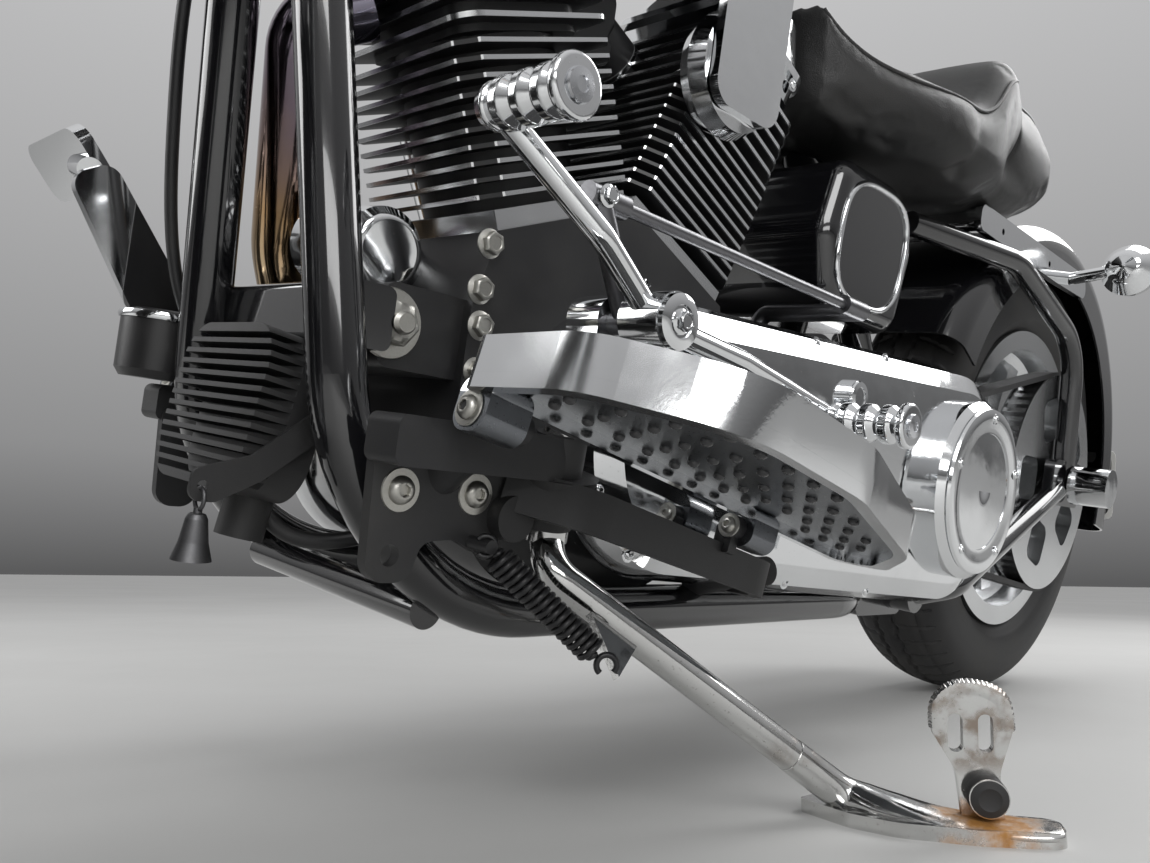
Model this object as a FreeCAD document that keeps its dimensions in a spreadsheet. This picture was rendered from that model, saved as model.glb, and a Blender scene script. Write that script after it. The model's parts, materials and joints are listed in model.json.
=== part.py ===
"""Cruiser motorcycle with a V-twin engine, footboards and a side stand, parked and leaning on its stand.

The bike is modelled upright in its own frame, in millimetres: X forward from the rear axle, Y to the
rider's left, Z up from the ground. The fork's pieces are modelled in a second frame whose Z is the
steering axis. The stance then leans the whole bike onto its stand, with the bars turned to the left stop.
"""

import FreeCAD, Part
import Sketcher
import math
import os
from FreeCAD import Placement, Rotation, Vector

doc = FreeCAD.newDocument("CruiserMotorcycle")
sheet = doc.addObject("Spreadsheet::Sheet", "Sizes")

# Driving dimensions: alias, millimetres or degrees, what it is
SIZES = [
    ("wheelbase", 1630, "between the axles, upright and straight ahead"),
    ("rear_tyre_radius", 323, "16 inch rear tyre"),
    ("rear_tyre_width", 140, "section width"),
    ("front_tyre_radius", 320, "16 inch front tyre"),
    ("front_tyre_width", 132, "section width"),
    ("bead_radius", 203, "bead seat of a 16 inch rim"),
    ("rim_lip", 15, "rim flange above the bead seat"),
    ("rake_angle", 32, "steering axis from the vertical"),
    ("fork_offset", 45, "front axle ahead of the steering axis"),
    ("fork_spread", 120, "fork leg from the middle plane"),
    ("fork_tube_radius", 20.65, "41.3 mm fork tubes"),
    ("slider_radius", 31, "fork lower leg"),
    ("lean_angle", 10.6, "lean to the left on the stand"),
    ("steering_stop", 28, "bars turned to the left stop"),
    ("tube_radius", 17.5, "frame tube, 1.375 inch"),
    ("rail_half_width", 110, "lower frame rail from the middle plane"),
    ("rail_height", 162, "lower frame rail above the ground"),
    ("neck_radius", 33, "steering head"),
    ("neck_length", 188, "steering head"),
    ("neck_low_height", 790, "lower end of the steering head"),
    ("stem_radius", 14, "steering stem"),
    ("stem_clearance", 0.05, "stem in the steering head"),
    ("face_gap", 0.3, "between faces that turn on each other"),
    ("crank_x", 912, "crankshaft ahead of the rear axle"),
    ("crank_height", 290, "crankshaft above the ground"),
    ("vee_half_angle", 22.5, "each cylinder from the vertical"),
    ("deck_distance", 165, "crankshaft to cylinder base"),
    ("case_half_width", 78, "crankcase to each side"),
    ("fin_half_width", 80, "cooling fin across the bike"),
    ("fin_half_length", 75, "cooling fin along the bike"),
    ("fin_thickness", 3, "cooling fin"),
    ("fin_pitch", 11, "from fin to fin"),
    ("barrel_fins", 10, "fins on a cylinder barrel"),
    ("head_fins", 5, "fins on a cylinder head"),
    ("rocker_height", 84, "rocker cover"),
    ("pivot_x", 390, "swingarm pivot ahead of the rear axle"),
    ("pivot_height", 165, "swingarm pivot above the ground"),
    ("arm_half_width", 124, "swingarm side from the middle plane"),
    ("axle_radius", 12, "both wheel axles"),
    ("disc_radius", 146, "brake disc"),
    ("disc_thickness", 5, "brake disc"),
    ("pulley_radius", 152, "rear belt pulley"),
    ("small_pulley_radius", 66, "belt pulley on the gearbox"),
    ("belt_width", 28, "drive belt"),
    ("belt_thickness", 7, "drive belt"),
    ("belt_offset", 92, "belt middle left of the middle plane"),
    ("fender_gap", 22, "tyre to fender"),
    ("fender_wall", 3, "fender sheet"),
    ("tank_half_width", 150, "fuel tank at its widest"),
    ("board_length", 400, "footboard"),
    ("board_width", 154, "footboard"),
    ("board_tilt", 12, "footboard nose up"),
    ("muffler_radius", 43, "silencer"),
    ("header_radius", 24, "exhaust pipe with its heat shield"),
    ("bar_radius", 12.7, "handlebar, 1 inch"),
    ("bar_half_width", 430, "handlebar end from the middle plane"),
    ("lamp_radius", 92, "headlamp, 7 inch glass"),
    ("stand_radius", 11, "side stand leg"),
]
for row, (alias, number, meaning) in enumerate(SIZES, 1):
    sheet.set(f"A{row}", meaning)
    sheet.set(f"B{row}", str(number))
    sheet.setAlias(f"B{row}", alias)
doc.recompute()


class Size(float):
    """A number that remembers the sheet expression it came from, so that a sketch can be bound to it."""

    def __new__(cls, number, text):
        made = super().__new__(cls, number)
        made.text = text
        return made

    def join(self, other, sign, number, swapped=False):
        mine, theirs = self.text, getattr(other, "text", repr(float(other)))
        first, second = (theirs, mine) if swapped else (mine, theirs)
        return Size(number, f"({first} {sign} {second})")

    def __add__(self, other):
        return self.join(other, "+", float(self) + float(other))

    def __radd__(self, other):
        return self.join(other, "+", float(other) + float(self), True)

    def __sub__(self, other):
        return self.join(other, "-", float(self) - float(other))

    def __rsub__(self, other):
        return self.join(other, "-", float(other) - float(self), True)

    def __mul__(self, other):
        return self.join(other, "*", float(self) * float(other))

    def __rmul__(self, other):
        return self.join(other, "*", float(other) * float(self), True)

    def __truediv__(self, other):
        return self.join(other, "/", float(self) / float(other))

    def __neg__(self):
        return Size(-float(self), f"(-1 * {self.text})")


class Sheet:
    """The sheet's numbers by their aliases."""


size = Sheet()
for alias, number, meaning in SIZES:
    setattr(size, alias, Size(sheet.get(alias), f"Sizes.{alias}"))

X, Y, Z = Vector(1, 0, 0), Vector(0, 1, 0), Vector(0, 0, 1)
LEFT, RIGHT = 1, -1
# Where a profile's own two coordinates go: the extrusion runs along the third axis
PLANES = {
    "x": lambda u, v, w: Vector(w, u, v),
    "y": lambda u, v, w: Vector(u, w, v),
    "z": lambda u, v, w: Vector(u, v, w),
}
BODY_PLANES = {"x": "YZ_Plane", "y": "XZ_Plane", "z": "XY_Plane"}


def turn(axis, degrees, at=Vector()):
    """A placement that turns about an axis through a point."""
    return Placement(Vector(), Rotation(axis, degrees), at)


def shift(x=0, y=0, z=0):
    return Placement(Vector(x, y, z), Rotation())


# Profiles, paths and the solids made from them


def bent_edges(points, radii, closed):
    """Lines through points, each corner rounded by an arc of its radius."""
    count, edges, cuts = len(points), [], []
    for i, (corner, radius) in enumerate(zip(points, radii)):
        if radius == 0 or (not closed and i in (0, count - 1)):
            cuts.append((corner, None, corner))
            continue
        back = points[i - 1] - corner
        ahead = points[(i + 1) % count] - corner
        half = back.getAngle(ahead) / 2
        reach = radius / math.tan(half)
        room = 0.49 * min(back.Length, ahead.Length)
        if reach > room:
            reach = room
            radius = reach * math.tan(half)
        back.normalize()
        ahead.normalize()
        middle = (back + ahead).normalize() * (radius / math.sin(half) - radius)
        cuts.append((corner + back * reach, corner + middle, corner + ahead * reach))
    for i in range(count if closed else count - 1):
        start, end = cuts[i][2], cuts[(i + 1) % count][0]
        if (end - start).Length > 1e-6:
            edges.append(Part.LineSegment(start, end).toShape())
        after = cuts[(i + 1) % count]
        if after[1] is not None:
            edges.append(Part.Arc(after[0], after[1], after[2]).toShape())
    return edges


def outline(points, plane="y", at=0.0):
    """Closed wire from (u, v) or (u, v, corner radius) points in a plane."""
    corners = [PLANES[plane](p[0], p[1], at) for p in points]
    radii = [p[2] if len(p) > 2 else 0 for p in points]
    return Part.Wire(bent_edges(corners, radii, True))


def slab(points, plane, low, high):
    """Outline extruded from low to high across its plane."""
    return Part.Face(outline(points, plane, low)).extrude(PLANES[plane](0, 0, high - low))


def turned(points, place=Placement()):
    """Solid of revolution about X from (along, radius) or (along, radius, corner radius) points."""
    solid = Part.Face(outline(points, "z")).revolve(Vector(), X, 360)
    return placed(solid, place)


def placed(shape, place):
    """Copy of a shape, moved by a placement."""
    moved = shape.copy()
    moved.Placement = place * moved.Placement
    return moved


def rod(points, radius, bend=0.0):
    """Round bar along a bent path, with one bend radius for every corner or a list of them."""
    bends = bend if isinstance(bend, list) else [bend] * len(points)
    path = Part.Wire(bent_edges(points, bends, False))
    along = points[1] - points[0]
    ring = Part.Wire(Part.Circle(points[0], along, radius).toShape())
    return path.makePipeShell([ring], True, False)


def loft(sections, ruled=False):
    """Solid through closed wires."""
    return Part.makeLoft(sections, True, ruled)


def rounded_box(u, v, low, high, plane, radius):
    """Slab with rounded corners, from (lowest, highest) ranges of u and v."""
    corners = [(u[0], v[0]), (u[1], v[0]), (u[1], v[1]), (u[0], v[1])]
    return slab([(a, b, radius) for a, b in corners], plane, low, high)


def mirrored(shape):
    """The same piece on the other side of the middle plane."""
    return shape.mirror(Vector(), Y)


def cylinder(radius, start, along):
    return Part.makeCylinder(radius, along.Length, start, along)


def joined(shapes):
    whole = shapes[0].fuse(shapes[1:]) if len(shapes) > 1 else shapes[0]
    return whole.removeSplitter()


# Document objects


def feature(label, shape):
    """A form that no sketch or primitive gives, kept as a feature of the document."""
    made = doc.addObject("Part::Feature", label)
    made.Shape = shape if shape.Placement.isIdentity() else Part.makeCompound([shape])
    return made


def body_of(label):
    return doc.addObject("PartDesign::Body", label)


def sketch(body, name, plane, points=(), circle=None):
    """Sketch on a body's own origin plane, every coordinate bound to the sheet."""
    made = body.newObject("Sketcher::SketchObject", name)
    role = BODY_PLANES[plane]
    support = next(f for f in body.Origin.OriginFeatures if f.Role == role)
    made.AttachmentSupport = [(support, "")]
    made.MapMode = "FlatFace"
    count = len(points)
    for i in range(count):
        start, end = points[i], points[(i + 1) % count]
        made.addGeometry(Part.LineSegment(Vector(*start, 0), Vector(*end, 0)))
    for i in range(count):
        made.addConstraint(Sketcher.Constraint("Coincident", i, 2, (i + 1) % count, 1))
    for i, point in enumerate(points):
        for kind, coordinate in zip(("DistanceX", "DistanceY"), point):
            bind(made, Sketcher.Constraint(kind, -1, 1, i, 1, coordinate), coordinate)
    if circle:
        u, v, radius = circle
        made.addGeometry(Part.Circle(Vector(u, v, 0), Z, radius))
        bind(made, Sketcher.Constraint("DistanceX", -1, 1, count, 3, u), u)
        bind(made, Sketcher.Constraint("DistanceY", -1, 1, count, 3, v), v)
        bind(made, Sketcher.Constraint("Radius", count, radius), radius)
    return made


def bind(made, constraint, number):
    """Adds a constraint, and ties it to the sheet if its number came from there."""
    index = made.addConstraint(constraint)
    if hasattr(number, "text"):
        made.setExpression(f"Constraints[{index}]", number.text)


def put(made, name, number):
    """Sets a property, and ties it to the sheet if its number came from there."""
    setattr(made, name, int(number) if name == "Occurrences" else float(number))
    if hasattr(number, "text"):
        made.setExpression(name, number.text)


def pad(body, name, profile, length, midplane=False, pocket=False):
    made = body.newObject("PartDesign::Pocket" if pocket else "PartDesign::Pad", name)
    made.Profile = profile
    put(made, "Length", length)
    made.Midplane = midplane
    return made


def revolution(body, name, profile):
    made = body.newObject("PartDesign::Revolution", name)
    made.Profile = profile
    made.ReferenceAxis = (profile, ["H_Axis"])
    made.Angle = 360
    return made


def polar(body, name, original, axis_sketch, count):
    """Repeats a feature about its sketch's horizontal axis or normal."""
    doc.recompute()
    made = body.newObject("PartDesign::PolarPattern", name)
    made.Originals = [original]
    made.Axis = axis_sketch
    made.Angle = 360
    put(made, "Occurrences", count)
    body.Tip = made
    return made


def linear(body, name, originals, direction, length, count):
    doc.recompute()
    made = body.newObject("PartDesign::LinearPattern", name)
    made.Originals = originals
    made.Direction = direction
    put(made, "Length", length)
    put(made, "Occurrences", count)
    body.Tip = made
    return made


# Where the axles, the steering and the stance are

REAR_AXLE = Vector(0, 0, size.rear_tyre_radius)
FRONT_AXLE = Vector(size.wheelbase, 0, size.front_tyre_radius)
RAKE = math.radians(size.rake_angle)
UP_FORK = Vector(-math.sin(RAKE), 0, math.cos(RAKE))
AHEAD_FORK = Vector(math.cos(RAKE), 0, math.sin(RAKE))
STEERING_POINT = FRONT_AXLE - AHEAD_FORK * size.fork_offset
FORK_AHEAD = Placement(STEERING_POINT, Rotation(Y, -size.rake_angle))
FORK = FORK_AHEAD * turn(Z, size.steering_stop)
ALONG_Y = turn(Z, 90)
NECK_LOW = (size.neck_low_height - STEERING_POINT.z) / math.cos(RAKE)
NECK_HIGH = NECK_LOW + size.neck_length
REAR_GAP = size.fender_gap + 23
FENDER_TOP = 2 * size.rear_tyre_radius + REAR_GAP + size.fender_wall
SLIDER_TOP = round(NECK_LOW - 172)
CROWN_FLAT = 4.0


def lowest(axle, wheel_axis, radius, width):
    """Height of the lowest point of a tyre whose tread is a half circle with a short flat in its middle."""
    crown = width / 2 - CROWN_FLAT
    tilt = abs(wheel_axis.z)
    return axle.z - (radius - crown) * math.sqrt(1 - tilt * tilt) - CROWN_FLAT * tilt - crown


def stance_at(pitch, height):
    return Placement(Vector(0, 0, height), Rotation(Y, pitch)) * turn(X, -size.lean_angle)


def tyre_heights(place):
    rear = lowest(place.multVec(REAR_AXLE), place.Rotation.multVec(Y), size.rear_tyre_radius, size.rear_tyre_width)
    fork = place * FORK
    front_axle = fork.multVec(Vector(size.fork_offset, 0, 0))
    front = lowest(front_axle, fork.Rotation.multVec(Y), size.front_tyre_radius, size.front_tyre_width)
    return rear, front


PITCH = 0.0
for step in range(8):
    rear_low, front_low = tyre_heights(stance_at(PITCH, 0))
    PITCH += math.degrees(math.atan((front_low - rear_low) / size.wheelbase))
STANCE_RAISED = stance_at(PITCH, -tyre_heights(stance_at(PITCH, 0))[0])


nodes = []


def node(made, place=Placement()):
    """Registers a finished piece of the bike at its place in the bike's own frame."""
    nodes.append((made, place))
    return made


# Wheels


def tyre(label, radius, width, axle):
    half, lip = width / 2, size.bead_radius + size.rim_lip + 1
    shoulder, bead = lip + 22, half * 0.72
    points = [
        (-bead, size.bead_radius + 0.1), (bead, size.bead_radius + 0.1), (bead, lip, 3),
        (half, shoulder, 25), (half, radius, half - CROWN_FLAT),
        (-half, radius, half - CROWN_FLAT), (-half, shoulder, 25), (-bead, lip, 3),
    ]
    carcass = turned(points)
    void = [
        (-bead + 14, size.bead_radius - 1), (bead - 14, size.bead_radius - 1),
        (half - 9, shoulder + 4, 20), (half - 9, radius - 14, half - 16),
        (-half + 9, radius - 14, half - 16), (-half + 9, shoulder + 4, 20),
    ]
    return node(feature(label, carcass.cut(turned(void))), axle * ALONG_Y)


def rim(label, width, hub_half, axle, spokes=9):
    """Cast wheel: drop-centre rim, hub and tapered spokes, turned and cut about the axle."""
    seat, lip, half = size.bead_radius, size.bead_radius + size.rim_lip, width / 2 * 0.72
    made = body_of(label)
    barrel = sketch(made, label + "Barrel", "z", [
        (-half - 8, lip), (-half - 0.4, lip), (-half - 0.4, seat), (-half + 22, seat - 2), (-half + 30, seat - 20),
        (half - 30, seat - 20), (half - 22, seat - 2), (half + 0.4, seat), (half + 0.4, lip), (half + 8, lip),
        (half + 8, seat - 12), (half - 22, seat - 14), (half - 34, seat - 32),
        (-half + 34, seat - 32), (-half + 22, seat - 14), (-half - 8, seat - 12),
    ])
    revolution(made, label + "Ring", barrel)
    hub = sketch(made, label + "HubShape", "z", [
        (-hub_half, size.axle_radius + 0.05), (-hub_half, 38), (-hub_half + 16, 52), (hub_half - 16, 52),
        (hub_half, 38), (hub_half, size.axle_radius + 0.05),
    ])
    revolution(made, label + "Hub", hub)
    reach = seat - 30
    spoke = sketch(made, label + "SpokeShape", "z", [
        (-17, 48), (17, 48), (26, reach), (-26, reach),
    ])
    first = pad(made, label + "Spoke", spoke, 34, midplane=True)
    polar(made, label + "Spokes", first, (spoke, ["H_Axis"]), spokes)
    return node(made, axle * ALONG_Y)


def ring_body(label, profile, place, cut=None):
    """Turned ring with an optional pattern of round holes: cut is (pitch radius, hole radius, count, length)."""
    made = body_of(label)
    revolution(made, label + "Turned", sketch(made, label + "Profile", "z", profile))
    if cut:
        pitch_radius, hole, count, length = cut
        doc.recompute()
        hole_sketch = sketch(made, label + "HoleShape", "x", circle=(pitch_radius, 0.0, hole))
        first = pad(made, label + "Hole", hole_sketch, length, midplane=True, pocket=True)
        polar(made, label + "Holes", first, (hole_sketch, ["N_Axis"]), count)
    return node(made, place)


REAR_WHEEL = Placement(REAR_AXLE, Rotation())
FRONT_WHEEL = FORK * shift(x=size.fork_offset)
rear_hub_half, front_hub_half = 66.0, 62.0
tyre("rear_tyre", size.rear_tyre_radius, size.rear_tyre_width, REAR_WHEEL)
tyre("front_tyre", size.front_tyre_radius, size.front_tyre_width, FRONT_WHEEL)
rim("rear_rim", size.rear_tyre_width, rear_hub_half, REAR_WHEEL)
rim("front_rim", size.front_tyre_width, front_hub_half, FRONT_WHEEL)


def disc_profile(at):
    """Brake disc on its carrier: two steps of thickness from the hub out, centred at a distance along."""
    half = size.disc_thickness / 2
    return [
        (at - half, 30), (at - half, size.disc_radius), (at + half, size.disc_radius), (at + half, 30),
    ]


front_disc_at = front_hub_half + size.disc_thickness / 2
ring_body("front_disc", disc_profile(front_disc_at), FRONT_WHEEL * ALONG_Y,
          (size.disc_radius - 22, 5.0, 18, 200))
rear_disc_at = rear_hub_half + size.disc_thickness / 2
ring_body("rear_disc", disc_profile(-rear_disc_at), REAR_WHEEL * ALONG_Y,
          (size.disc_radius - 22, 5.0, 18, 200))


def toothed(radius, teeth, depth):
    """Flat outline of a belt pulley's teeth about the origin, in the plane across the axle."""
    corners = []
    for i in range(teeth):
        for part, r in ((0.0, radius - depth), (0.28, radius), (0.72, radius), (1.0, radius - depth)):
            if part < 1.0:
                a = 2 * math.pi * (i + part) / teeth
                corners.append((r * math.cos(a), r * math.sin(a)))
    return corners


def pulley(radius, teeth, low, high, bore):
    """Toothed pulley with side plates, its axis along Y."""
    core = slab(toothed(radius, teeth, 3.5), "y", low + 2, high - 2)
    plates = [cylinder(radius + 3, Vector(0, y, 0), Vector(0, 2, 0)) for y in (low, high - 2)]
    whole = joined([core] + plates)
    return whole.cut(cylinder(bore, Vector(0, low - 1, 0), Vector(0, high - low + 2, 0)))


belt_low = size.belt_offset - size.belt_width / 2
belt_high = size.belt_offset + size.belt_width / 2
wheel_pulley = pulley(size.pulley_radius, 60, belt_low - 3, belt_high + 3, 34)
web = size.pulley_radius - 30
windows = []
for i in range(5):
    window = rounded_box((62, web), (-30, 30), belt_low - 5, belt_high + 5, "y", 16)
    windows.append(placed(window, turn(Y, 72 * i)))
wheel_pulley = wheel_pulley.cut(windows)
carrier = cylinder(60, Vector(0, rear_hub_half, 0), Vector(0, belt_low - 3 - rear_hub_half, 0))
wheel_pulley = joined([wheel_pulley, carrier.cut(cylinder(34, Vector(0, 0, 0), Vector(0, 200, 0)))])
node(feature("rear_pulley", wheel_pulley), REAR_WHEEL)

CRANK = Vector(size.crank_x, 0, size.crank_height)
VEE = math.radians(size.vee_half_angle)

# Frame: steering head, backbone, rails and swingarm


def at_neck(along, ahead=0.0, side=0.0):
    return FORK_AHEAD.multVec(Vector(ahead, side, along))


def cross_tube(x, z, half, radius=12.0):
    return cylinder(radius, Vector(x, -half, z), Vector(0, 2 * half, 0))


neck_tube = cylinder(size.neck_radius, at_neck(NECK_LOW), UP_FORK * size.neck_length)
neck_bore = cylinder(size.stem_radius + size.stem_clearance, at_neck(NECK_LOW - 50), UP_FORK * 400)
spine_radius = 24.0
spine_start = at_neck(NECK_LOW + size.neck_length / 2)
spine_knee = Vector(700, 0, 775)
spine_end = Vector(545, 0, 600)
spine = rod([spine_start, spine_knee, spine_end], spine_radius, 200)
spine_slope = (spine_start.z - spine_knee.z) / (spine_start.x - spine_knee.x)
gusset = slab([
    (spine_start.x - 8, spine_start.z - 60), (spine_start.x - 30, spine_start.z + 10),
    (spine_start.x - 260, spine_start.z + round(-260 * spine_slope - 9)),
    (spine_start.x - 250, spine_start.z + round(-250 * spine_slope - 26)),
], "y", -4, 4)
tunnel_half = 34.0
tank_studs = []
for x in (1000.0, 800.0):
    z = spine_knee.z + (x - spine_knee.x) * spine_slope
    tank_studs.append(cross_tube(x, z, tunnel_half - size.face_gap, 11.0))
spine_whole = joined([neck_tube, spine, gusset] + tank_studs)
node(feature("frame_spine", spine_whole.cut(neck_bore)))

rail_top = Vector(1222, 14, 850)
rail_front = Vector(1140, size.rail_half_width + 6, size.rail_height)
rail_back = Vector(560, size.rail_half_width - 4, size.rail_height - 2)
rail_heel = Vector(462, 60, size.rail_height)
pivot = Vector(size.pivot_x, 0, size.pivot_height)


front_bend, rear_bend = 155.0, 115.0
seat_joint = Vector(560, 26, 600)


def rail(side):
    points = [rail_top, rail_front, rail_back, rail_heel, Vector(438, 56, 330), seat_joint]
    points = [Vector(p.x, side * p.y, p.z) for p in points]
    return rod(points, size.tube_radius, [0, front_bend] + [rear_bend] * 4)


rails = [rail(side) for side in (LEFT, RIGHT)]
crosses = [
    cross_tube(rail_front.x - 60, size.rail_height + 1, size.rail_half_width),
    cross_tube(640, size.rail_height, size.rail_half_width),
    rounded_box((CRANK.x + 205 + size.face_gap, 1152), (318, 358), -86, 86, "y", 6),
]
for side in (LEFT, RIGHT):
    low, high = sorted((side * 62, side * 78))
    crosses.append(rounded_box((pivot.x - 30, 474), (pivot.z - 30, pivot.z + 24), low, high, "y", 16))
rail_set = joined(rails + crosses)
rail_set = rail_set.cut(cylinder(22 + size.face_gap, Vector(pivot.x, -200, pivot.z), Vector(0, 400, 0)))
rail_set = rail_set.cut(spine_whole)
node(feature("frame_rails", rail_set))

arm_y = size.arm_half_width
arm_radius = 14.0
upper_height = FENDER_TOP - 104


def swingarm_side(side):
    y = side * arm_y
    lower = rod([
        Vector(pivot.x, side * 96, pivot.z - 3), Vector(332, y, 176), Vector(0, y, REAR_AXLE.z),
    ], arm_radius, 60)
    upper = rod([
        Vector(0, y, REAR_AXLE.z), Vector(20, y, upper_height - 70), Vector(230, side * 110, upper_height),
        Vector(430, side * 60, upper_height),
    ], arm_radius, 90)
    plate = rounded_box((-52, 60), (REAR_AXLE.z - 32, REAR_AXLE.z + 32), y - 7, y + 7, "y", 14)
    return [lower, upper, plate]


arm_parts = swingarm_side(LEFT) + swingarm_side(RIGHT)
arm_parts.append(cross_tube(pivot.x, pivot.z, 108, 22.0))
arm_parts.append(cross_tube(400, upper_height, 64, 14.0))
axle_hole = cylinder(size.axle_radius + 0.05, Vector(0, -300, REAR_AXLE.z), Vector(0, 600, 0))
node(feature("swingarm", joined(arm_parts).cut(axle_hole)))

rear_axle_rod = cylinder(size.axle_radius, Vector(0, -150, REAR_AXLE.z), Vector(0, 300, 0))
rear_axle_ends = []
for side, length in ((LEFT, 49.0), (RIGHT, 14.0)):
    start = Vector(0, side * (arm_y + arm_radius + size.face_gap), REAR_AXLE.z)
    rear_axle_ends.append(cylinder(27, start, Vector(0, side * length, 0)))
node(feature("rear_axle", joined([rear_axle_rod] + rear_axle_ends)))

# Engine: crankcase, barrels, heads and covers, all about the crankshaft

half_case = size.case_half_width


def about_crank(points):
    return [(size.crank_x + p[0], size.crank_height + p[1], *p[2:]) for p in points]


def cylinder_place(front):
    """Frame of one cylinder: Z along its bore from the crankshaft, X ahead."""
    angle = size.vee_half_angle if front else -size.vee_half_angle
    return Placement(CRANK, Rotation(Y, angle))


deck, case_side = size.deck_distance, 68.0
deck_out = (deck * math.sin(VEE) + case_side * math.cos(VEE), deck * math.cos(VEE) - case_side * math.sin(VEE))
deck_in = (deck * math.sin(VEE) - case_side * math.cos(VEE), deck * math.cos(VEE) + case_side * math.sin(VEE))
case_shape = about_crank([
    deck_out, (142, 70, 18), (142, 10, 40), (118, -122, 100), (-118, -122, 100), (-142, 10, 40), (-142, 70, 18),
    (-deck_out[0], deck_out[1]), (-deck_in[0], deck_in[1]), (0, deck_in[1] - 4), deck_in,
])
case = slab(case_shape, "y", -half_case, half_case)
front_mount = rounded_box((CRANK.x + 120, CRANK.x + 205), (CRANK.z + 20, CRANK.z + 75), -70, 70, "y", 10)
node(feature("crankcase", joined([case, front_mount])))

cam_shape = about_crank([
    (-120, 40, 40), (-70, 130, 30), (70, 130, 30), (120, 60, 50), (110, -60, 50), (0, -95, 60), (-110, -50, 45),
])
cam_cover = slab(cam_shape, "y", -half_case - 38, -half_case)
cam_cover = cam_cover.makeFillet(7, [
    e for e in cam_cover.Edges if e.BoundBox.YMax < -half_case - 37.9
])
node(feature("cam_cover", cam_cover))


def barrel(front):
    """One finned cylinder barrel, its Z along the bore from the crankshaft."""
    name = "front" if front else "rear"
    made = body_of(f"{name}_cylinder")
    foot = sketch(made, name + "FootShape", "z", [(-66, -72), (66, -72), (66, 72), (-66, 72)])
    pad(made, name + "Foot", foot, 14)
    core = sketch(made, name + "CoreShape", "z", circle=(0.0, 0.0, 60.0))
    height = 14 + 8 + size.barrel_fins * size.fin_pitch
    pad(made, name + "Core", core, height)
    doc.recompute()
    a, b, r = size.fin_half_length, size.fin_half_width, 14
    fin = sketch(made, name + "FinShape", "z", [
        (-a + r, -b), (a - r, -b), (a, -b + r), (a, b - r), (a - r, b), (-a + r, b), (-a, b - r), (-a, -b + r),
    ])
    fin.AttachmentOffset = shift(z=14 + 8)
    first = pad(made, name + "Fin", fin, size.fin_thickness)
    linear(made, name + "Fins", [first], (fin, ["N_Axis"]), (size.barrel_fins - 1) * size.fin_pitch, size.barrel_fins)
    return node(made, cylinder_place(front) * shift(z=size.deck_distance))


PORT_LENGTH = 106.0
barrel_top = size.deck_distance + 14 + 8 + size.barrel_fins * size.fin_pitch
head_pitch = 14.0
head_height = head_pitch * size.head_fins + 12
rocker_bottom = barrel_top + head_height


def head(front):
    """Cylinder head: fins round a block, with the inlet port towards the other cylinder."""
    block = rounded_box((-58, 58), (-62, 62), barrel_top, rocker_bottom, "z", 20)
    fins = []
    for i in range(int(size.head_fins)):
        z = barrel_top + 5 + i * head_pitch
        fins.append(rounded_box((-72, 72), (-size.fin_half_width, size.fin_half_width), z, z + 3.5, "z", 18))
    inward = -1 if front else 1
    port = cylinder(24, Vector(0, -30, barrel_top + 40), Vector(inward * PORT_LENGTH, 0, 0))
    tappets = rounded_box((-38, 34), (-104, -60), rocker_bottom - 26, rocker_bottom, "z", 8)
    return joined([block, port, tappets] + fins)


def rocker(front):
    low = rocker_bottom
    high = low + size.rocker_height
    sections = [
        outline([(-60, -72, 16), (60, -72, 16), (60, 72, 16), (-60, 72, 16)], "z", z) for z in (low, low + 30)
    ]
    base = slab([(-60, -72, 16), (60, -72, 16), (60, 72, 16), (-60, 72, 16)], "z", low, low + 30)
    cap = loft([sections[1], outline([(-46, -60, 16), (46, -60, 16), (46, 60, 16), (-46, 60, 16)], "z", high)], True)
    lip = slab([(-64, -76, 18), (64, -76, 18), (64, 76, 18), (-64, 76, 18)], "z", low + 24, low + 32)
    return joined([base, lip, cap])


barrel(True)
barrel(False)
both_heads = [placed(head(front), cylinder_place(front)) for front in (True, False)]
node(feature("cylinder_heads", Part.makeCompound(both_heads)))
both_rockers = [placed(rocker(front), cylinder_place(front)) for front in (True, False)]
node(feature("rocker_covers", Part.makeCompound(both_rockers)))

pushrods = []
for front in (True, False):
    lean = 1 if front else -1
    for spread in (22, 58):
        foot = Vector(CRANK.x + lean * spread * 0.8, -half_case - 19, CRANK.z + 128)
        top = cylinder_place(front).multVec(Vector(lean * (spread - 42), -93, rocker_bottom - 20))
        pushrods.append(cylinder(10, foot, top - foot))
heads_and_rockers = both_heads + both_rockers
pushrods = [tube.cut(heads_and_rockers) for tube in pushrods]
case_and_cam = joined([case, cam_cover])
pushrods = [tube.cut(case_and_cam) for tube in pushrods]
node(feature("pushrod_tubes", Part.makeCompound(pushrods)))

intake_z = CRANK.z + (barrel_top + 40) * math.cos(VEE) + PORT_LENGTH * math.sin(VEE)
cleaner_y = -128.0
throttle = rounded_box((CRANK.x - 34, CRANK.x + 34), (intake_z - 34, intake_z + 34), -100, -8, "y", 12)
throttle = throttle.cut(both_heads)
snout = cylinder(30, Vector(CRANK.x, -100, intake_z), Vector(0, cleaner_y + 100, 0))
node(feature("intake", joined([throttle, snout])))
cleaner = turned([
    (0, 0), (0, 86), (6, 92), (34, 92), (46, 78, 10), (52, 40, 30), (54, 0),
], shift(CRANK.x, cleaner_y, intake_z) * turn(Z, -90))
node(feature("air_cleaner", cleaner))

# Primary drive cover, gearbox and final belt

CLUTCH = Vector(463, 0, 290)
primary_high = 172.0


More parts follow.
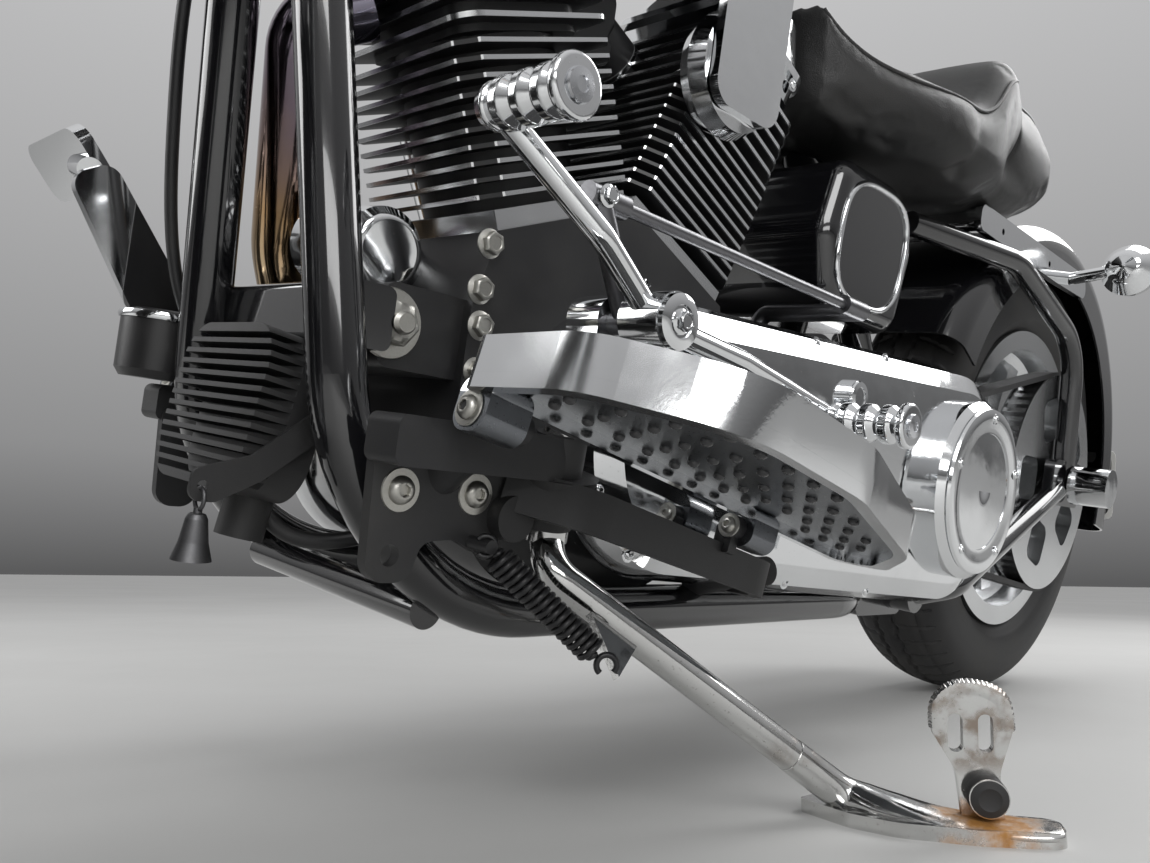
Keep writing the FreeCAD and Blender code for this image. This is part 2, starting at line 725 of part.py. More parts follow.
def two_circles(front, rear, front_radius, rear_radius):
    """Outline around two circles, with straight sides tangent to both."""
    along = rear - front
    distance = along.Length
    lean = math.asin((rear_radius - front_radius) / distance)
    base = math.atan2(along.z, along.x)
    wires = []
    upper, lower = base - math.pi / 2 - lean, base + math.pi / 2 + lean

    def on(centre, radius, angle):
        return Vector(centre.x + radius * math.cos(angle), centre.y, centre.z + radius * math.sin(angle))

    front_up, rear_up = on(front, front_radius, upper), on(rear, rear_radius, upper)
    front_down, rear_down = on(front, front_radius, lower), on(rear, rear_radius, lower)
    tip = on(front, front_radius, base + math.pi)
    tail = on(rear, rear_radius, base)
    return Part.Wire([
        Part.Arc(front_down, tip, front_up).toShape(), Part.LineSegment(front_up, rear_up).toShape(),
        Part.Arc(rear_up, tail, rear_down).toShape(), Part.LineSegment(rear_down, front_down).toShape(),
    ])


def primary_shape(y, inset):
    front = Vector(CRANK.x, y, CRANK.z)
    rear = Vector(CLUTCH.x, y, CLUTCH.z)
    return two_circles(front, rear, 102 - inset, 126 - inset)


seam_y = 128.0
neck_case = Part.Face(two_circles(
    Vector(CRANK.x, half_case, CRANK.z), Vector(CRANK.x - 250, half_case, CRANK.z), 96, 84,
)).extrude(Vector(0, seam_y - half_case, 0))
outer_case = loft([primary_shape(seam_y, 2), primary_shape(seam_y + 10, 0)], True)
outer_wall = loft([primary_shape(seam_y + 10, 0), primary_shape(primary_high - 10, 8)], True)
outer_face = loft([primary_shape(primary_high - 10, 8), primary_shape(primary_high, 26)], True)
derby = turned([
    (0, 0), (0, 92), (16, 92), (25, 84, 8), (27, 0),
], shift(CLUTCH.x, primary_high - 1, CLUTCH.z) * turn(Z, 90))
SHIFT_HUB = Vector(996, 190, 361)
shift_boss = cylinder(17, Vector(SHIFT_HUB.x, seam_y, SHIFT_HUB.z), Vector(0, 29, 0))
shift_foot = rounded_box((980, 1012), (300, 361), seam_y, seam_y + 29, "y", 6)
filler_cap = cylinder(15, Vector(711, primary_high - 2, 352), Vector(0, 9, 0))
primary = joined([neck_case, outer_case, outer_wall, outer_face, derby, filler_cap, shift_boss, shift_foot])
primary = primary.cut(cylinder(9.3, Vector(SHIFT_HUB.x, 0, SHIFT_HUB.z), Vector(0, 300, 0)))
node(feature("primary_cover", primary))

gearbox = slab([
    (CRANK.x - 145, 205, 20), (CRANK.x - 145, 400, 30), (CRANK.x - 300, 425, 30), (504, 398, 20), (466, 310, 30),
    (520, 205, 40),
], "y", -half_case, half_case)
box_foot = Part.makeBox(44, 60, 40, Vector(618, -30, size.rail_height + 12))
side_door = slab([
    (CRANK.x - 170, 225, 20), (CRANK.x - 170, 380, 30), (500, 380, 40), (480, 300, 20), (540, 225, 30),
], "y", -half_case - 16, -half_case)
node(feature("gearbox", joined([gearbox, side_door, box_foot])))


def belt_loop(front, rear, front_radius, rear_radius, low, high, thickness):
    """Belt stood off both pulleys by a running gap."""
    def ring(y, grow):
        return two_circles(Vector(front.x, y, front.z), Vector(rear.x, y, rear.z), front_radius + grow,
                           rear_radius + grow)
    outer = Part.Face(ring(low, thickness)).extrude(Vector(0, high - low, 0))
    inner = Part.Face(ring(low - 1, 0)).extrude(Vector(0, high - low + 2, 0))
    return outer.cut(inner)


belt = belt_loop(CLUTCH, REAR_AXLE, size.small_pulley_radius + size.face_gap, size.pulley_radius + size.face_gap,
                 belt_low, belt_high, size.belt_thickness)
small_pulley = cylinder(size.small_pulley_radius, Vector(CLUTCH.x, half_case, CLUTCH.z),
                        Vector(0, belt_high + 2 - half_case, 0))

# Oil tank, battery box and side covers under the seat

tank_shape = [(500, 442, 30), (640, 442, 40), (662, 520, 40), (640, 600, 30), (520, 600, 40), (478, 540, 40)]
oil_tank = slab(tank_shape, "y", -98, 98)
oil_tank = oil_tank.makeFillet(18, [
    e for e in oil_tank.Edges if abs(abs(e.BoundBox.YMin) - 98) < 0.1 and abs(abs(e.BoundBox.YMax) - 98) < 0.1
])
oil_tank = oil_tank.cut([rail_set, spine])
oil_tank = max(oil_tank.Solids, key=lambda solid: solid.Volume)
node(feature("oil_tank", oil_tank))

# Exhaust on the right side

pipe_y, silencer_y = -146.0, -200.0
LOWER_END, UPPER_END = Vector(420, silencer_y, 222), Vector(480, silencer_y, 322)
front_cylinder, rear_cylinder = cylinder_place(True), cylinder_place(False)
front_pipe = rod([
    front_cylinder.multVec(Vector(74, -20, barrel_top + 34)), front_cylinder.multVec(Vector(116, -40, barrel_top + 28)),
    Vector(CRANK.x + 188, -112, 400), Vector(CRANK.x + 98, pipe_y, 190), Vector(560, pipe_y, 185), LOWER_END,
], size.header_radius, 70)
rear_pipe = rod([
    rear_cylinder.multVec(Vector(-74, -45, barrel_top + 34)), rear_cylinder.multVec(Vector(-104, -80, barrel_top + 20)),
    Vector(CRANK.x - 222, -140, 430), Vector(CRANK.x - 292, -160, 330), UPPER_END,
], size.header_radius, 70)
node(feature("exhaust_pipes", Part.makeCompound([front_pipe.cut(both_heads), rear_pipe.cut(both_heads)])))

silencers = []
for start, rise in ((LOWER_END, 14), (UPPER_END, 14)):
    length = start.x + 270
    tube = turned([
        (0, 0), (0, 25), (60, size.muffler_radius, 60), (length - 25, size.muffler_radius), (length, 36, 6),
        (length, 30), (length - 60, 30), (length - 60, 0),
    ])
    direction = Rotation(X, Vector(-1, -0.015, rise / 700))
    silencers.append(placed(tube, Placement(start, direction)))
silencers = [tube.cut([front_pipe, rear_pipe]) for tube in silencers]
node(feature("mufflers", Part.makeCompound(silencers)))

# Front of the engine: voltage regulator with its fins, oil filter, horn

REGULATOR = Vector(1173, 0, 267)
regulator_depth, regulator_half, regulator_high = 44.0, 64.0, 104.0
housing = rounded_box((-regulator_half, regulator_half), (-regulator_high / 2, regulator_high / 2), 0,
                      regulator_depth, "x", 30)
grooves = []
for i in range(13):
    z = -regulator_high / 2 + 8 + i * (regulator_high - 16) / 12
    grooves.append(Part.makeBox(24, 2 * regulator_half + 2, 4.2, Vector(regulator_depth - 22, -regulator_half - 1, z - 2.1)))
housing = housing.cut(grooves)
plug = cylinder(15, Vector(10, 20, -regulator_high / 2 - 26), Vector(0, 0, 30))
regulator = placed(joined([housing, plug]), Placement(REGULATOR - Vector(30, 0, 0), Rotation(Y, -9)))
back_plate = rounded_box((REGULATOR.x - 32, REGULATOR.x - 26), (256, 290), -106, 106, "y", 2)
BELL_HOOK = Vector(1214, 70, 227)
bell_tab = slab([
    (REGULATOR.x - 30, 262), (REGULATOR.x - 30, 284), (1188, 246, 8), (BELL_HOOK.x + 6, 236, 6),
    (BELL_HOOK.x + 8, 218, 7), (BELL_HOOK.x - 8, 218, 7), (1180, 232, 10),
], "y", BELL_HOOK.y - 1.5, BELL_HOOK.y + 1.5)
bell_tab = bell_tab.cut(cylinder(3, BELL_HOOK - Y * 10, Y * 20))
node(feature("regulator", joined([regulator, back_plate, bell_tab]).cut(rail_set)))

FILTER = Vector(1098, -52, 398)
filter_can = turned([(0, 0), (0, 26), (8, 30), (84, 30), (92, 24, 6), (92, 0)],
                    Placement(FILTER, Rotation(Z, 90) * Rotation(Y, 6)))
filter_neck = cylinder(20, Vector(1030, -20, FILTER.z - 8), Vector(60, 0, 0))
node(feature("oil_filter", joined([filter_can, filter_neck]).cut([case, front_mount])))

HORN = Vector(852, 92, 590)
horn_cover = rounded_box((HORN.x - 44, HORN.x + 40), (HORN.z - 36, HORN.z + 110), 120, 128, "y", 20)
horn_body = turned([(0, 0), (0, 44), (12, 50), (26, 46), (32, 18), (32, 0)], Placement(HORN, Rotation(Z, 90)))
horn_stay = rod([Vector(HORN.x, 96, HORN.z + 20), Vector(HORN.x - 10, 30, HORN.z + 20)], 7)
node(feature("horn", joined([horn_cover, horn_body, horn_stay]).cut(both_heads)))

# Footboards, each on a hinge carried by a bracket from its rail

BOARD_AT = Vector(941, 196, 270)
hinge_v, hinge_z, pin_radius, lug_half = 4.0, -23.0, 5.0, 15.0
BOARD = Placement(BOARD_AT, Rotation(Y, -size.board_tilt))
LUGS = (182.0, -70.0)


def board_outline(inset):
    """Half-moon: straight inner edge, outer edge widest near the front and drawn in to the rear."""
    half, wide = size.board_length / 2, size.board_width
    return [
        (-half + inset, inset, 10), (half + 4 - inset, inset, 10), (half + 12 - inset, wide * 0.58 - inset, 50),
        (half - 36 - inset, wide - inset, 60), (half - 140, wide - inset, 90), (-half + 92, wide * 0.68 - inset, 160),
        (-half + inset, wide * 0.3 - inset, 30),
    ]


def footboard():
    rim_band = slab(board_outline(0), "z", -14, 14).cut(slab(board_outline(9), "z", -15, 15))
    deck_plate = slab(board_outline(8.5), "z", -6, 0)
    lugs = []
    for u in LUGS:
        lug = rounded_box((-8, 18), (-35, -5), u - lug_half, u + lug_half, "x", 10)
        lugs.append(lug.cut(cylinder(pin_radius + 0.05, Vector(u - 30, hinge_v, hinge_z), Vector(60, 0, 0))))
    return joined([rim_band, deck_plate] + lugs)


def board_bracket():
    """Two ears with hinge pins: the front one on the block, the rear one on the band under the board."""
    pieces = []
    for u in LUGS:
        inward = -1 if u > 0 else 1
        face = u + inward * (lug_half + size.face_gap)
        ear_low, ear_high = sorted((face, face + inward * 9))
        if u > 0:
            ear = rounded_box((-40, hinge_v), (hinge_z - 8, hinge_z - 1), ear_low, ear_high, "x", 2)
        else:
            ear = rounded_box((-6, hinge_v + 4), (-42, hinge_z), ear_low, ear_high, "x", 2)
        eye = cylinder(8.5, Vector(ear_low, hinge_v, hinge_z), Vector(9, 0, 0))
        pin = cylinder(pin_radius, Vector(face, hinge_v, hinge_z), Vector(-inward * (2 * lug_half + 4), 0, 0))
        pieces += [ear, eye, pin]
    return [placed(piece, BOARD) for piece in pieces]


def board_band():
    """Flat bar under the board, curved inwards at both ends, parallel to the board."""
    outer = [(-150, -48), (-120, 3, 40), (88, 3, 40), (122, -40)]
    inner = [(112, -46), (82, -6, 32), (-114, -6, 32), (-140, -54)]
    return placed(slab(outer + inner, "z", -62, -36), BOARD)


board_left = placed(footboard(), BOARD)
node(feature("floorboard_left", board_left))
node(feature("floorboard_right", mirrored(board_left)))

# Left bracket: cast block and plate that also carry the side stand

STAND_PIVOT = Vector(1034, 160, 246)
STAND_AXIS = Vector(0.104, 0.160, 0.982).normalize()
boss_high, boss_low = 38.0, -21.0
boss = Part.makeCone(15, 27, 34, STAND_PIVOT + STAND_AXIS * boss_low, STAND_AXIS)
boss_top = cylinder(16, STAND_PIVOT, STAND_AXIS * boss_high)
block = rounded_box((1044, 1164), (254, 281), 148, 178, "y", 6)
web_plate = slab([
    (1052, 264, 8), (1048, 222, 16), (1078, 205, 8), (1100, 214, 12), (1122, 212, 10), (1128, 189, 13), (1156, 189, 13),
    (1160, 264, 6),
], "y", 145, 153)
round_boss = cylinder(14, Vector(1064, 145, 229), Vector(0, 19, 0))
arm_front = rod([Vector(1116, 100, 212), Vector(1110, 160, 264)], 14)
back_arm = rod([Vector(820, 112, 180), Vector(822, 168, 200), Vector(826, 186, 204)], 11, 20)
SPRING_TOP, SPRING_END = Vector(1087, 166, 213), Vector(1025, 216, 153)
spring_stud = cylinder(4, Vector(SPRING_TOP.x, 148, SPRING_TOP.z), Vector(0, 24, 0))
left_pieces = [spring_stud, boss, boss_top, block, web_plate, round_boss, arm_front, back_arm, board_band()]
left_pieces += board_bracket()
stand_hole = cylinder(10.05, STAND_PIVOT - STAND_AXIS * 100, STAND_AXIS * 200)
eye_hole = cylinder(6, Vector(1142, 120, 204), Vector(0, 50, 0))
left_bracket = joined(left_pieces).cut([rail_set, stand_hole, eye_hole, case, front_mount])
left_bracket = left_bracket.cut(primary)
node(feature("left_bracket", left_bracket))
right_pieces = [
    rounded_box((1074, 1164), (254, 281), -178, -148, "y", 6), mirrored(web_plate), mirrored(arm_front),
    mirrored(back_arm), mirrored(board_band()),
] + [mirrored(piece) for piece in board_bracket()]
node(feature("right_bracket", joined(right_pieces).cut([rail_set, case, front_mount, front_pipe])))

# Side stand: pin in the boss, bent leg, flat foot on the floor and a kick tab

LEG_TOP = STAND_PIVOT + STAND_AXIS * (boss_low - 0.3)
TO_BIKE = STANCE_RAISED.inverse()
stand_pin = cylinder(10, LEG_TOP - STAND_AXIS * 7, STAND_AXIS * (boss_high - boss_low + 10))
pin_head = cylinder(12, STAND_PIVOT + STAND_AXIS * (boss_high + 0.3), STAND_AXIS * 5)
collar = cylinder(14, LEG_TOP - STAND_AXIS * 8, STAND_AXIS * 8)
leg_bend = Vector(1038, 171, 200)
leg_foot = TO_BIKE.multVec(Vector(838, 287, size.stand_radius + 1))
leg = rod([LEG_TOP - STAND_AXIS * 6, leg_bend, leg_foot, TO_BIKE.multVec(Vector(836, 322, 7))], size.stand_radius, 28)
FOOT_SHAPE = [
    (824, 258, 6), (848, 256, 6), (863, 302, 30), (862, 334, 30), (842, 378, 30), (812, 417, 12), (778, 400, 12),
    (802, 352, 30), (814, 312, 30),
]
foot = slab(FOOT_SHAPE, "z", 0, 9)
tab_place = Placement(Vector(814, 368, 0), Rotation(Z, 125) * Rotation(X, 8))
tab = slab([
    (-13, 5), (-17, 40, 20), (-31, 64, 12), (-31, 86, 12), (-8, 95, 20), (16, 88, 12), (17, 66, 12), (9, 40, 20), (12, 5),
], "y", -3.5, 3.5)
slots = [rounded_box((x - 4.5, x + 4.5), (52, 76), -10, 10, "y", 4.4) for x in (-17, 1)]
tab = placed(tab.cut(slots), tab_place)
bumper = placed(cylinder(12, Vector(0, -14, 27), Vector(0, 12, 0)), tab_place)
floor_parts = [placed(piece, TO_BIKE) for piece in (foot, tab, bumper)]
leg_way = (leg_foot - leg_bend).normalize()
fin_points = [leg_bend + leg_way * 24, leg_bend + leg_way * 74, Vector(1020, 220, 146)]
fin_normal = (fin_points[1] - fin_points[0]).cross(fin_points[2] - fin_points[0]).normalize()
fin_face = Part.Face(Part.makePolygon([p - fin_normal * 2.5 for p in fin_points + fin_points[:1]]))
fin_plate = fin_face.extrude(fin_normal * 5)
stand_whole = joined([stand_pin, pin_head, collar, leg, fin_plate] + floor_parts)
node(feature("side_stand", stand_whole))


def coil(start, end, radius, wire, turns):
    """Closed tension spring between two points: a tube of its outer size with a groove for each turn."""
    axis = end - start
    length = axis.Length
    pitch = length / turns
    points = [(0, 0)]
    for i in range(turns):
        points += [(i * pitch, radius), ((i + 0.72) * pitch, radius), ((i + 0.86) * pitch, radius - wire)]
    points += [(length, radius - wire), (length, 0)]
    return turned(points, Placement(start, Rotation(X, axis)))


spring_axis = (SPRING_END - SPRING_TOP).normalize()
spring = coil(SPRING_TOP + spring_axis * 4.3, SPRING_END, 9, 2.5, 11)
node(feature("stand_spring", spring.cut([stand_whole, left_bracket])))

# Belt, shift linkage and brake pedal

node(feature("drive_belt", belt))
node(feature("belt_pulley", small_pulley))


def peg(inner, length):
    """Three-lobed foot peg with a flared end, its axis to the left."""
    lobes = [(0, 0), (0, 12), (8, 15, 3)]
    step = (length - 20) / 3
    for i in range(3):
        a = 10 + i * step
        lobes += [(a, 11), (a + step * 0.3, 15.5, 3), (a + step * 0.7, 15.5, 3)]
    lobes += [(length - 10, 11), (length - 6, 18, 3), (length, 18, 3), (length, 0)]
    return turned(lobes, Placement(inner, Rotation(Z, 90)))


TOE, HEEL = Vector(1116, 158, 460), Vector(752, 184, 328)
PEG_LENGTH = 72.0


def flat_arm(points, radius):
    return rod(points, radius, 20)


shift_hub = cylinder(19, Vector(SHIFT_HUB.x, 176, SHIFT_HUB.z), Vector(0, 32, 0))
toe_arm = flat_arm([SHIFT_HUB, Vector(1050, 190, 400), TOE], 8)
heel_arm = flat_arm([SHIFT_HUB, Vector(900, 190, 352), HEEL], 8)
pegs = [peg(centre - Vector(0, 6, 0), PEG_LENGTH) for centre in (TOE, HEEL)]
shift_lever = joined([shift_hub, toe_arm, heel_arm] + pegs)
link_y = 166.0
rod_front, rod_rear = Vector(1036, link_y, 431), Vector(700, link_y, 428)
link = cylinder(4.5, rod_front, rod_rear - rod_front)
link_ends = [cylinder(8, rod_front + Vector(10, 0, 0), Vector(-34, 0, -0.3)), cylinder(8, rod_rear, Vector(34, 0, 0.3))]
rocker_arm = rod([rod_front, Vector(SHIFT_HUB.x, link_y, SHIFT_HUB.z)], 8)
shift_shaft = cylinder(9, Vector(SHIFT_HUB.x, seam_y + 2, SHIFT_HUB.z), Vector(0, 60, 0))
gear_arm = rod([rod_rear, Vector(700, 60, 428), Vector(700, 60, 400)], 8, 12)
linkage = joined([link, rocker_arm, shift_shaft, gear_arm] + link_ends)
node(feature("shift_lever", shift_lever.cut(linkage)))
node(feature("shift_linkage", linkage.cut([primary, gearbox])))

pedal_shaft = cylinder(12, Vector(1132, -92, 300), Vector(0, -82, 0))
pedal_arm = slab([
    (1111, 298, 14), (1146, 284, 14), (1190, 338, 30), (1242, 420, 12), (1214, 438, 12), (1158, 366, 30),
], "y", -172, -163)
pedal_neck = rod([Vector(1228, -166, 428), Vector(1226, -200, 436)], 9)
pedal_plate = placed(rounded_box((-24, 24), (-50, 50), -5, 5, "z", 14),
                     Placement(Vector(1226, -226, 440), Rotation(Y, -50) * Rotation(X, 4)))
master = turned([(0, 0), (0, 26), (6, 30), (44, 30), (52, 24, 6), (52, 0)],
                Placement(Vector(1166, -152, 284), Rotation(Y, -90)))
master_link = rod([Vector(1132, -130, 300), Vector(1166, -152, 300)], 12)
brake = joined([pedal_shaft, pedal_arm, pedal_neck, pedal_plate, master, master_link])
node(feature("brake_pedal", brake.cut([rail_set, joined(right_pieces)])))

# Fuel tank, console and seat


def section(x, half, low, high, top_radius, low_radius):
    """Rounded cross-section of the bodywork at a distance along the bike."""
    return outline([(-half, low, low_radius), (half, low, low_radius), (half, high, top_radius),
                    (-half, high, top_radius)], "x", x)


def over_spine(share, above):
    """Place above the backbone, in whole millimetres: its share of the way from the knee to the steering head."""
    way = spine_start - spine_knee
    return round(spine_knee.x + share * way.x), round(spine_knee.z + share * way.z) + above


def spine_section(share, half, low, high, top_radius, low_radius):
    """Cross-section that starts and ends at its heights above the backbone."""
    x, bottom = over_spine(share, low)
    return section(x, half, bottom, bottom + high - low, top_radius, low_radius)


engine_top = round(Part.makeCompound(both_rockers).optimalBoundingBox(False).ZMax)


def tank_section(share, half, above_engine, above_spine, top_radius, low_radius):
    """Cross-section of the tank from its height above the rocker covers to its height above the backbone."""
    x, top = over_spine(share, above_spine)
    return section(x, half, engine_top + above_engine, top, top_radius, low_radius)


wide = size.tank_half_width
# Share of the backbone, half width, underside above the engine, top above the backbone, two radii
fuel_tank = loft([
    tank_section(-0.019, wide * 0.42, 37, 73, 30, 20), tank_section(0.131, wide * 0.76, 31, 109, 60, 30),
    tank_section(0.375, wide, 29, 129, 80, 40), tank_section(0.6, wide * 0.96, 31, 118, 84, 40),
    tank_section(0.731, wide * 0.68, 55, 88, 60, 40),
])
tunnel_top = [
    (600, 700), (600, 760), (spine_knee.x, spine_knee.z + 34), (spine_start.x, spine_start.z + 34),
    (spine_start.x, 700),
]
tunnel = slab(tunnel_top, "y", -tunnel_half, tunnel_half)
node(feature("fuel_tank", fuel_tank.cut(tunnel)))
console = loft([
    spine_section(0.094, 24, 92, 112, 5, 4), spine_section(0.263, 34, 112, 138, 9, 5),
    spine_section(0.431, 46, 114, 148, 14, 8), spine_section(0.582, 46, 106, 144, 20, 8),
    spine_section(0.668, 30, 98, 120, 8, 6),
])
dial_x, dial_height = over_spine(0.535, 136)
dial = turned([(0, 0), (0, 44), (12, 50, 5), (16, 44), (16, 0)],
              Placement(Vector(dial_x, 0, dial_height), Rotation(Y, -90 + 8)))
node(feature("tank_console", joined([console, dial]).cut(fuel_tank)))



def seat_sections(carrier, rows):
    """Sections of the seat from x, half width, underside and top above what carries it, and two radii."""
    return [section(x, half, carrier + low, carrier + high, over, under) for x, half, low, high, over, under in rows]


front_of_seat = seat_sections(seat_joint.z, [
    (676, 80, 44, 152, 24, 18), (636, 112, 32, 112, 26, 18), (596, 144, 26, 94, 30, 22), (500, 168, 22, 92, 32, 22),
])
middle_of_seat = seat_sections(FENDER_TOP, [
    (440, 168, -70, 26, 36, 22), (400, 156, -64, 76, 40, 20), (330, 128, -54, 92, 44, 20),
])
back_of_seat = seat_sections(FENDER_TOP, [
    (240, 124, -44, 94, 44, 20), (180, 116, -22, 88, 44, 20), (110, 92, 12, 62, 24, 18),
])
seat = loft(front_of_seat)
seat_back = loft(front_of_seat[-1:] + middle_of_seat)
seat_rear = loft(middle_of_seat[-1:] + back_of_seat)
seat_whole = seat.fuse([seat_back, seat_rear])

# Fenders: a channel turned about the axle


def fender(tyre_radius, half_width, gap, start, sweep, skirt):
    """Sheet channel over a tyre, from the start angle through the sweep, both in degrees about the axle."""
    inner = tyre_radius + gap
    wall = size.fender_wall
    profile = [
        (-half_width - wall, inner - skirt), (-half_width - wall, inner + wall, 40), (half_width + wall, inner + wall, 40),
        (half_width + wall, inner - skirt), (half_width, inner - skirt), (half_width, inner, 37),
        (-half_width, inner, 37), (-half_width, inner - skirt),
    ]
    face = Part.Face(outline(profile, "z"))
    shell = face.revolve(Vector(), X, sweep)
    return placed(shell, turn(Z, 90) * turn(X, start))


rear_half = size.rear_tyre_width / 2 + 18
rear_fender = placed(fender(size.rear_tyre_radius, rear_half, REAR_GAP, -10, 165, 70), REAR_WHEEL)
node(feature("rear_fender", rear_fender))
strut_y = rear_half + size.fender_wall + size.face_gap
BAG_HOLES_X = (90.0, 260.0)
strut_height = FENDER_TOP - 72
struts = []
for side in (LEFT, RIGHT):
    low, high = sorted((side * strut_y, side * (strut_y + 9)))
    strut_shape = [(-76, -16, 12), (-60, 18, 14), (330, 18, 12), (330, -14, 12), (60, -18, 30)]
    struts.append(slab([(x, strut_height + z, r) for x, z, r in strut_shape], "y", low, high))
bridge_heights = (strut_height - 10, strut_height + 14)
strut_bridge = rounded_box((300, 326), bridge_heights, -strut_y - 5, strut_y + 5, "y", 6)
bag_holes = [cylinder(4, Vector(x, -200, strut_height), Vector(0, 400, 0)) for x in BAG_HOLES_X]
struts = joined(struts + [strut_bridge]).cut(bag_holes)
node(feature("fender_struts", struts))
node(feature("seat", seat_whole.cut([rear_fender, spine, struts])))


def signal(at, way):
    """Domed direction lamp: its lens looks along the given way."""
    bowl = turned([(0, 0), (0, 34), (14, 36), (40, 22, 16), (46, 0)], Placement(at, Rotation(X, way * -1)))
    return bowl


rear_lamps = []
for side in (LEFT, RIGHT):
    centre = Vector(-24, side * 172, strut_height + 12)
    stalk = cylinder(9, Vector(0, side * (strut_y + 9), strut_height), Vector(0, side * (172 - strut_y - 9), 12))
    rear_lamps.append(joined([stalk, signal(centre, Vector(-1, 0, 0))]).cut(struts))
tail_shell = placed(rounded_box((-46, 46), (-30, 30), 0, 58, "x", 22),
                    Placement(REAR_AXLE, Rotation(Y, 205)) * shift(x=size.rear_tyre_radius + REAR_GAP + 1))
tail_shell = tail_shell.cut(rear_fender)
node(feature("rear_lamps", Part.makeCompound(rear_lamps + [tail_shell])))
# Fork, all in the steering frame

leg_x = size.fork_offset
spread = size.fork_spread
tube_top = NECK_HIGH + 30
sliders = []
for side in (LEFT, RIGHT):
    tube_bore = cylinder(size.fork_tube_radius + size.face_gap, Vector(leg_x, side * spread, 200), Z * SLIDER_TOP)
    lower = cylinder(size.slider_radius, Vector(leg_x, side * spread, -30), Z * (SLIDER_TOP + 30)).cut(tube_bore)
    seal = cylinder(size.slider_radius + 2, Vector(leg_x, side * spread, SLIDER_TOP - 14), Z * 14).cut(tube_bore)
    boss_side = rounded_box((leg_x - 30, leg_x + 30), (-34, 30), side * spread - 20, side * spread + 20, "y", 16)
    hole = cylinder(size.axle_radius + 0.05, Vector(leg_x, -300, 0), Vector(0, 600, 0))
    sliders.append(joined([lower, seal, boss_side]).cut(hole))
node(feature("fork_sliders", Part.makeCompound(sliders)), FORK)
front_axle = joined([
    cylinder(size.axle_radius, Vector(leg_x, -spread - 34, 0), Vector(0, 2 * spread + 68, 0)),
    cylinder(19, Vector(leg_x, spread + size.slider_radius + size.face_gap, 0), Vector(0, 12, 0)),
    cylinder(19, Vector(leg_x, -spread - size.slider_radius - size.face_gap, 0), Vector(0, -12, 0)),
])
node(feature("front_axle", front_axle), FORK)


def yoke(low, high):
    shape = [(-26, -30, 24), (20, -spread - 44, 34), (leg_x + 34, -spread - 44, 34), (leg_x + 50, -30, 40),
             (leg_x + 50, 30, 40), (leg_x + 34, spread + 44, 34), (20, spread + 44, 34), (-26, 30, 24)]
    return slab(shape, "z", low, high)


fork_pieces = [
    yoke(NECK_LOW - 30, NECK_LOW - size.face_gap), yoke(NECK_HIGH + size.face_gap, NECK_HIGH + 24),
    cylinder(size.stem_radius, Vector(0, 0, NECK_LOW - 30), Z * (size.neck_length + 60)),
    cylinder(22, Vector(0, 0, NECK_HIGH + 23), Z * 12),
]
for side in (LEFT, RIGHT):
    fork_pieces.append(cylinder(size.fork_tube_radius, Vector(leg_x, side * spread, 250), Z * (tube_top - 250)))
    cover_low = SLIDER_TOP + 15
    fork_pieces.append(cylinder(30, Vector(leg_x, side * spread, cover_low), Z * (NECK_HIGH + 10 - cover_low)))
fork_whole = joined(fork_pieces)
node(feature("fork_yokes", fork_whole), FORK)

front_half = size.front_tyre_width / 2 + 14
front_fender = fender(size.front_tyre_radius, front_half, size.fender_gap, 40, 115, 70)
FENDER_TILT = turn(Y, size.rake_angle)
front_fender = placed(front_fender, shift(x=leg_x) * FENDER_TILT)
fender_mounts = []
for side in (LEFT, RIGHT):
    low, high = sorted((side * (front_half + size.fender_wall), side * (spread - size.slider_radius + 6)))
    fender_mounts.append(rounded_box((leg_x - 22, leg_x + 22), (250, 290), low, high, "y", 8))
leg_clear = [cylinder(size.slider_radius + 0.01, Vector(leg_x, side * spread, 0), Z * 500) for side in (LEFT, RIGHT)]
front_fender = joined([front_fender] + fender_mounts).cut(leg_clear)
node(feature("front_fender", front_fender), FORK)


def caliper(side, disc_at, radius):
    """Two-piston caliper astride a disc, centred at the top of the disc."""
    half = size.disc_thickness / 2
    low, high = sorted((side * (disc_at - 33), side * (disc_at + 36)))
    shape = rounded_box((-52, 52), (radius - 52, radius + 20), low, high, "y", 18)
    slot_low, slot_high = sorted((side * (disc_at - half - 1.5), side * (disc_at + half + 1.5)))
    slot = cylinder(radius + 3, Vector(0, slot_low, 0), Vector(0, slot_high - slot_low, 0))
    return shape.cut(slot)


front_caliper = placed(caliper(LEFT, front_disc_at, size.disc_radius), shift(x=leg_x) * turn(Y, -62))
lug = rounded_box((leg_x - 100, leg_x - 10), (40, 80), 92, 108, "y", 10)
front_caliper = joined([front_caliper, lug]).cut(sliders)
node(feature("front_caliper", front_caliper), FORK)
rear_caliper = placed(caliper(RIGHT, rear_disc_at, size.disc_radius), REAR_WHEEL * turn(Y, 60))
carrier_plate = rounded_box((-24, 130), (REAR_AXLE.z - 24, REAR_AXLE.z + 90), -arm_y + 7.3, -arm_y + 22, "y", 14)
carrier_plate = carrier_plate.cut(axle_hole)
node(feature("rear_caliper", joined([rear_caliper, carrier_plate]).cut(arm_parts)))

# Headlamp, bars, controls, mirrors and front direction lamps

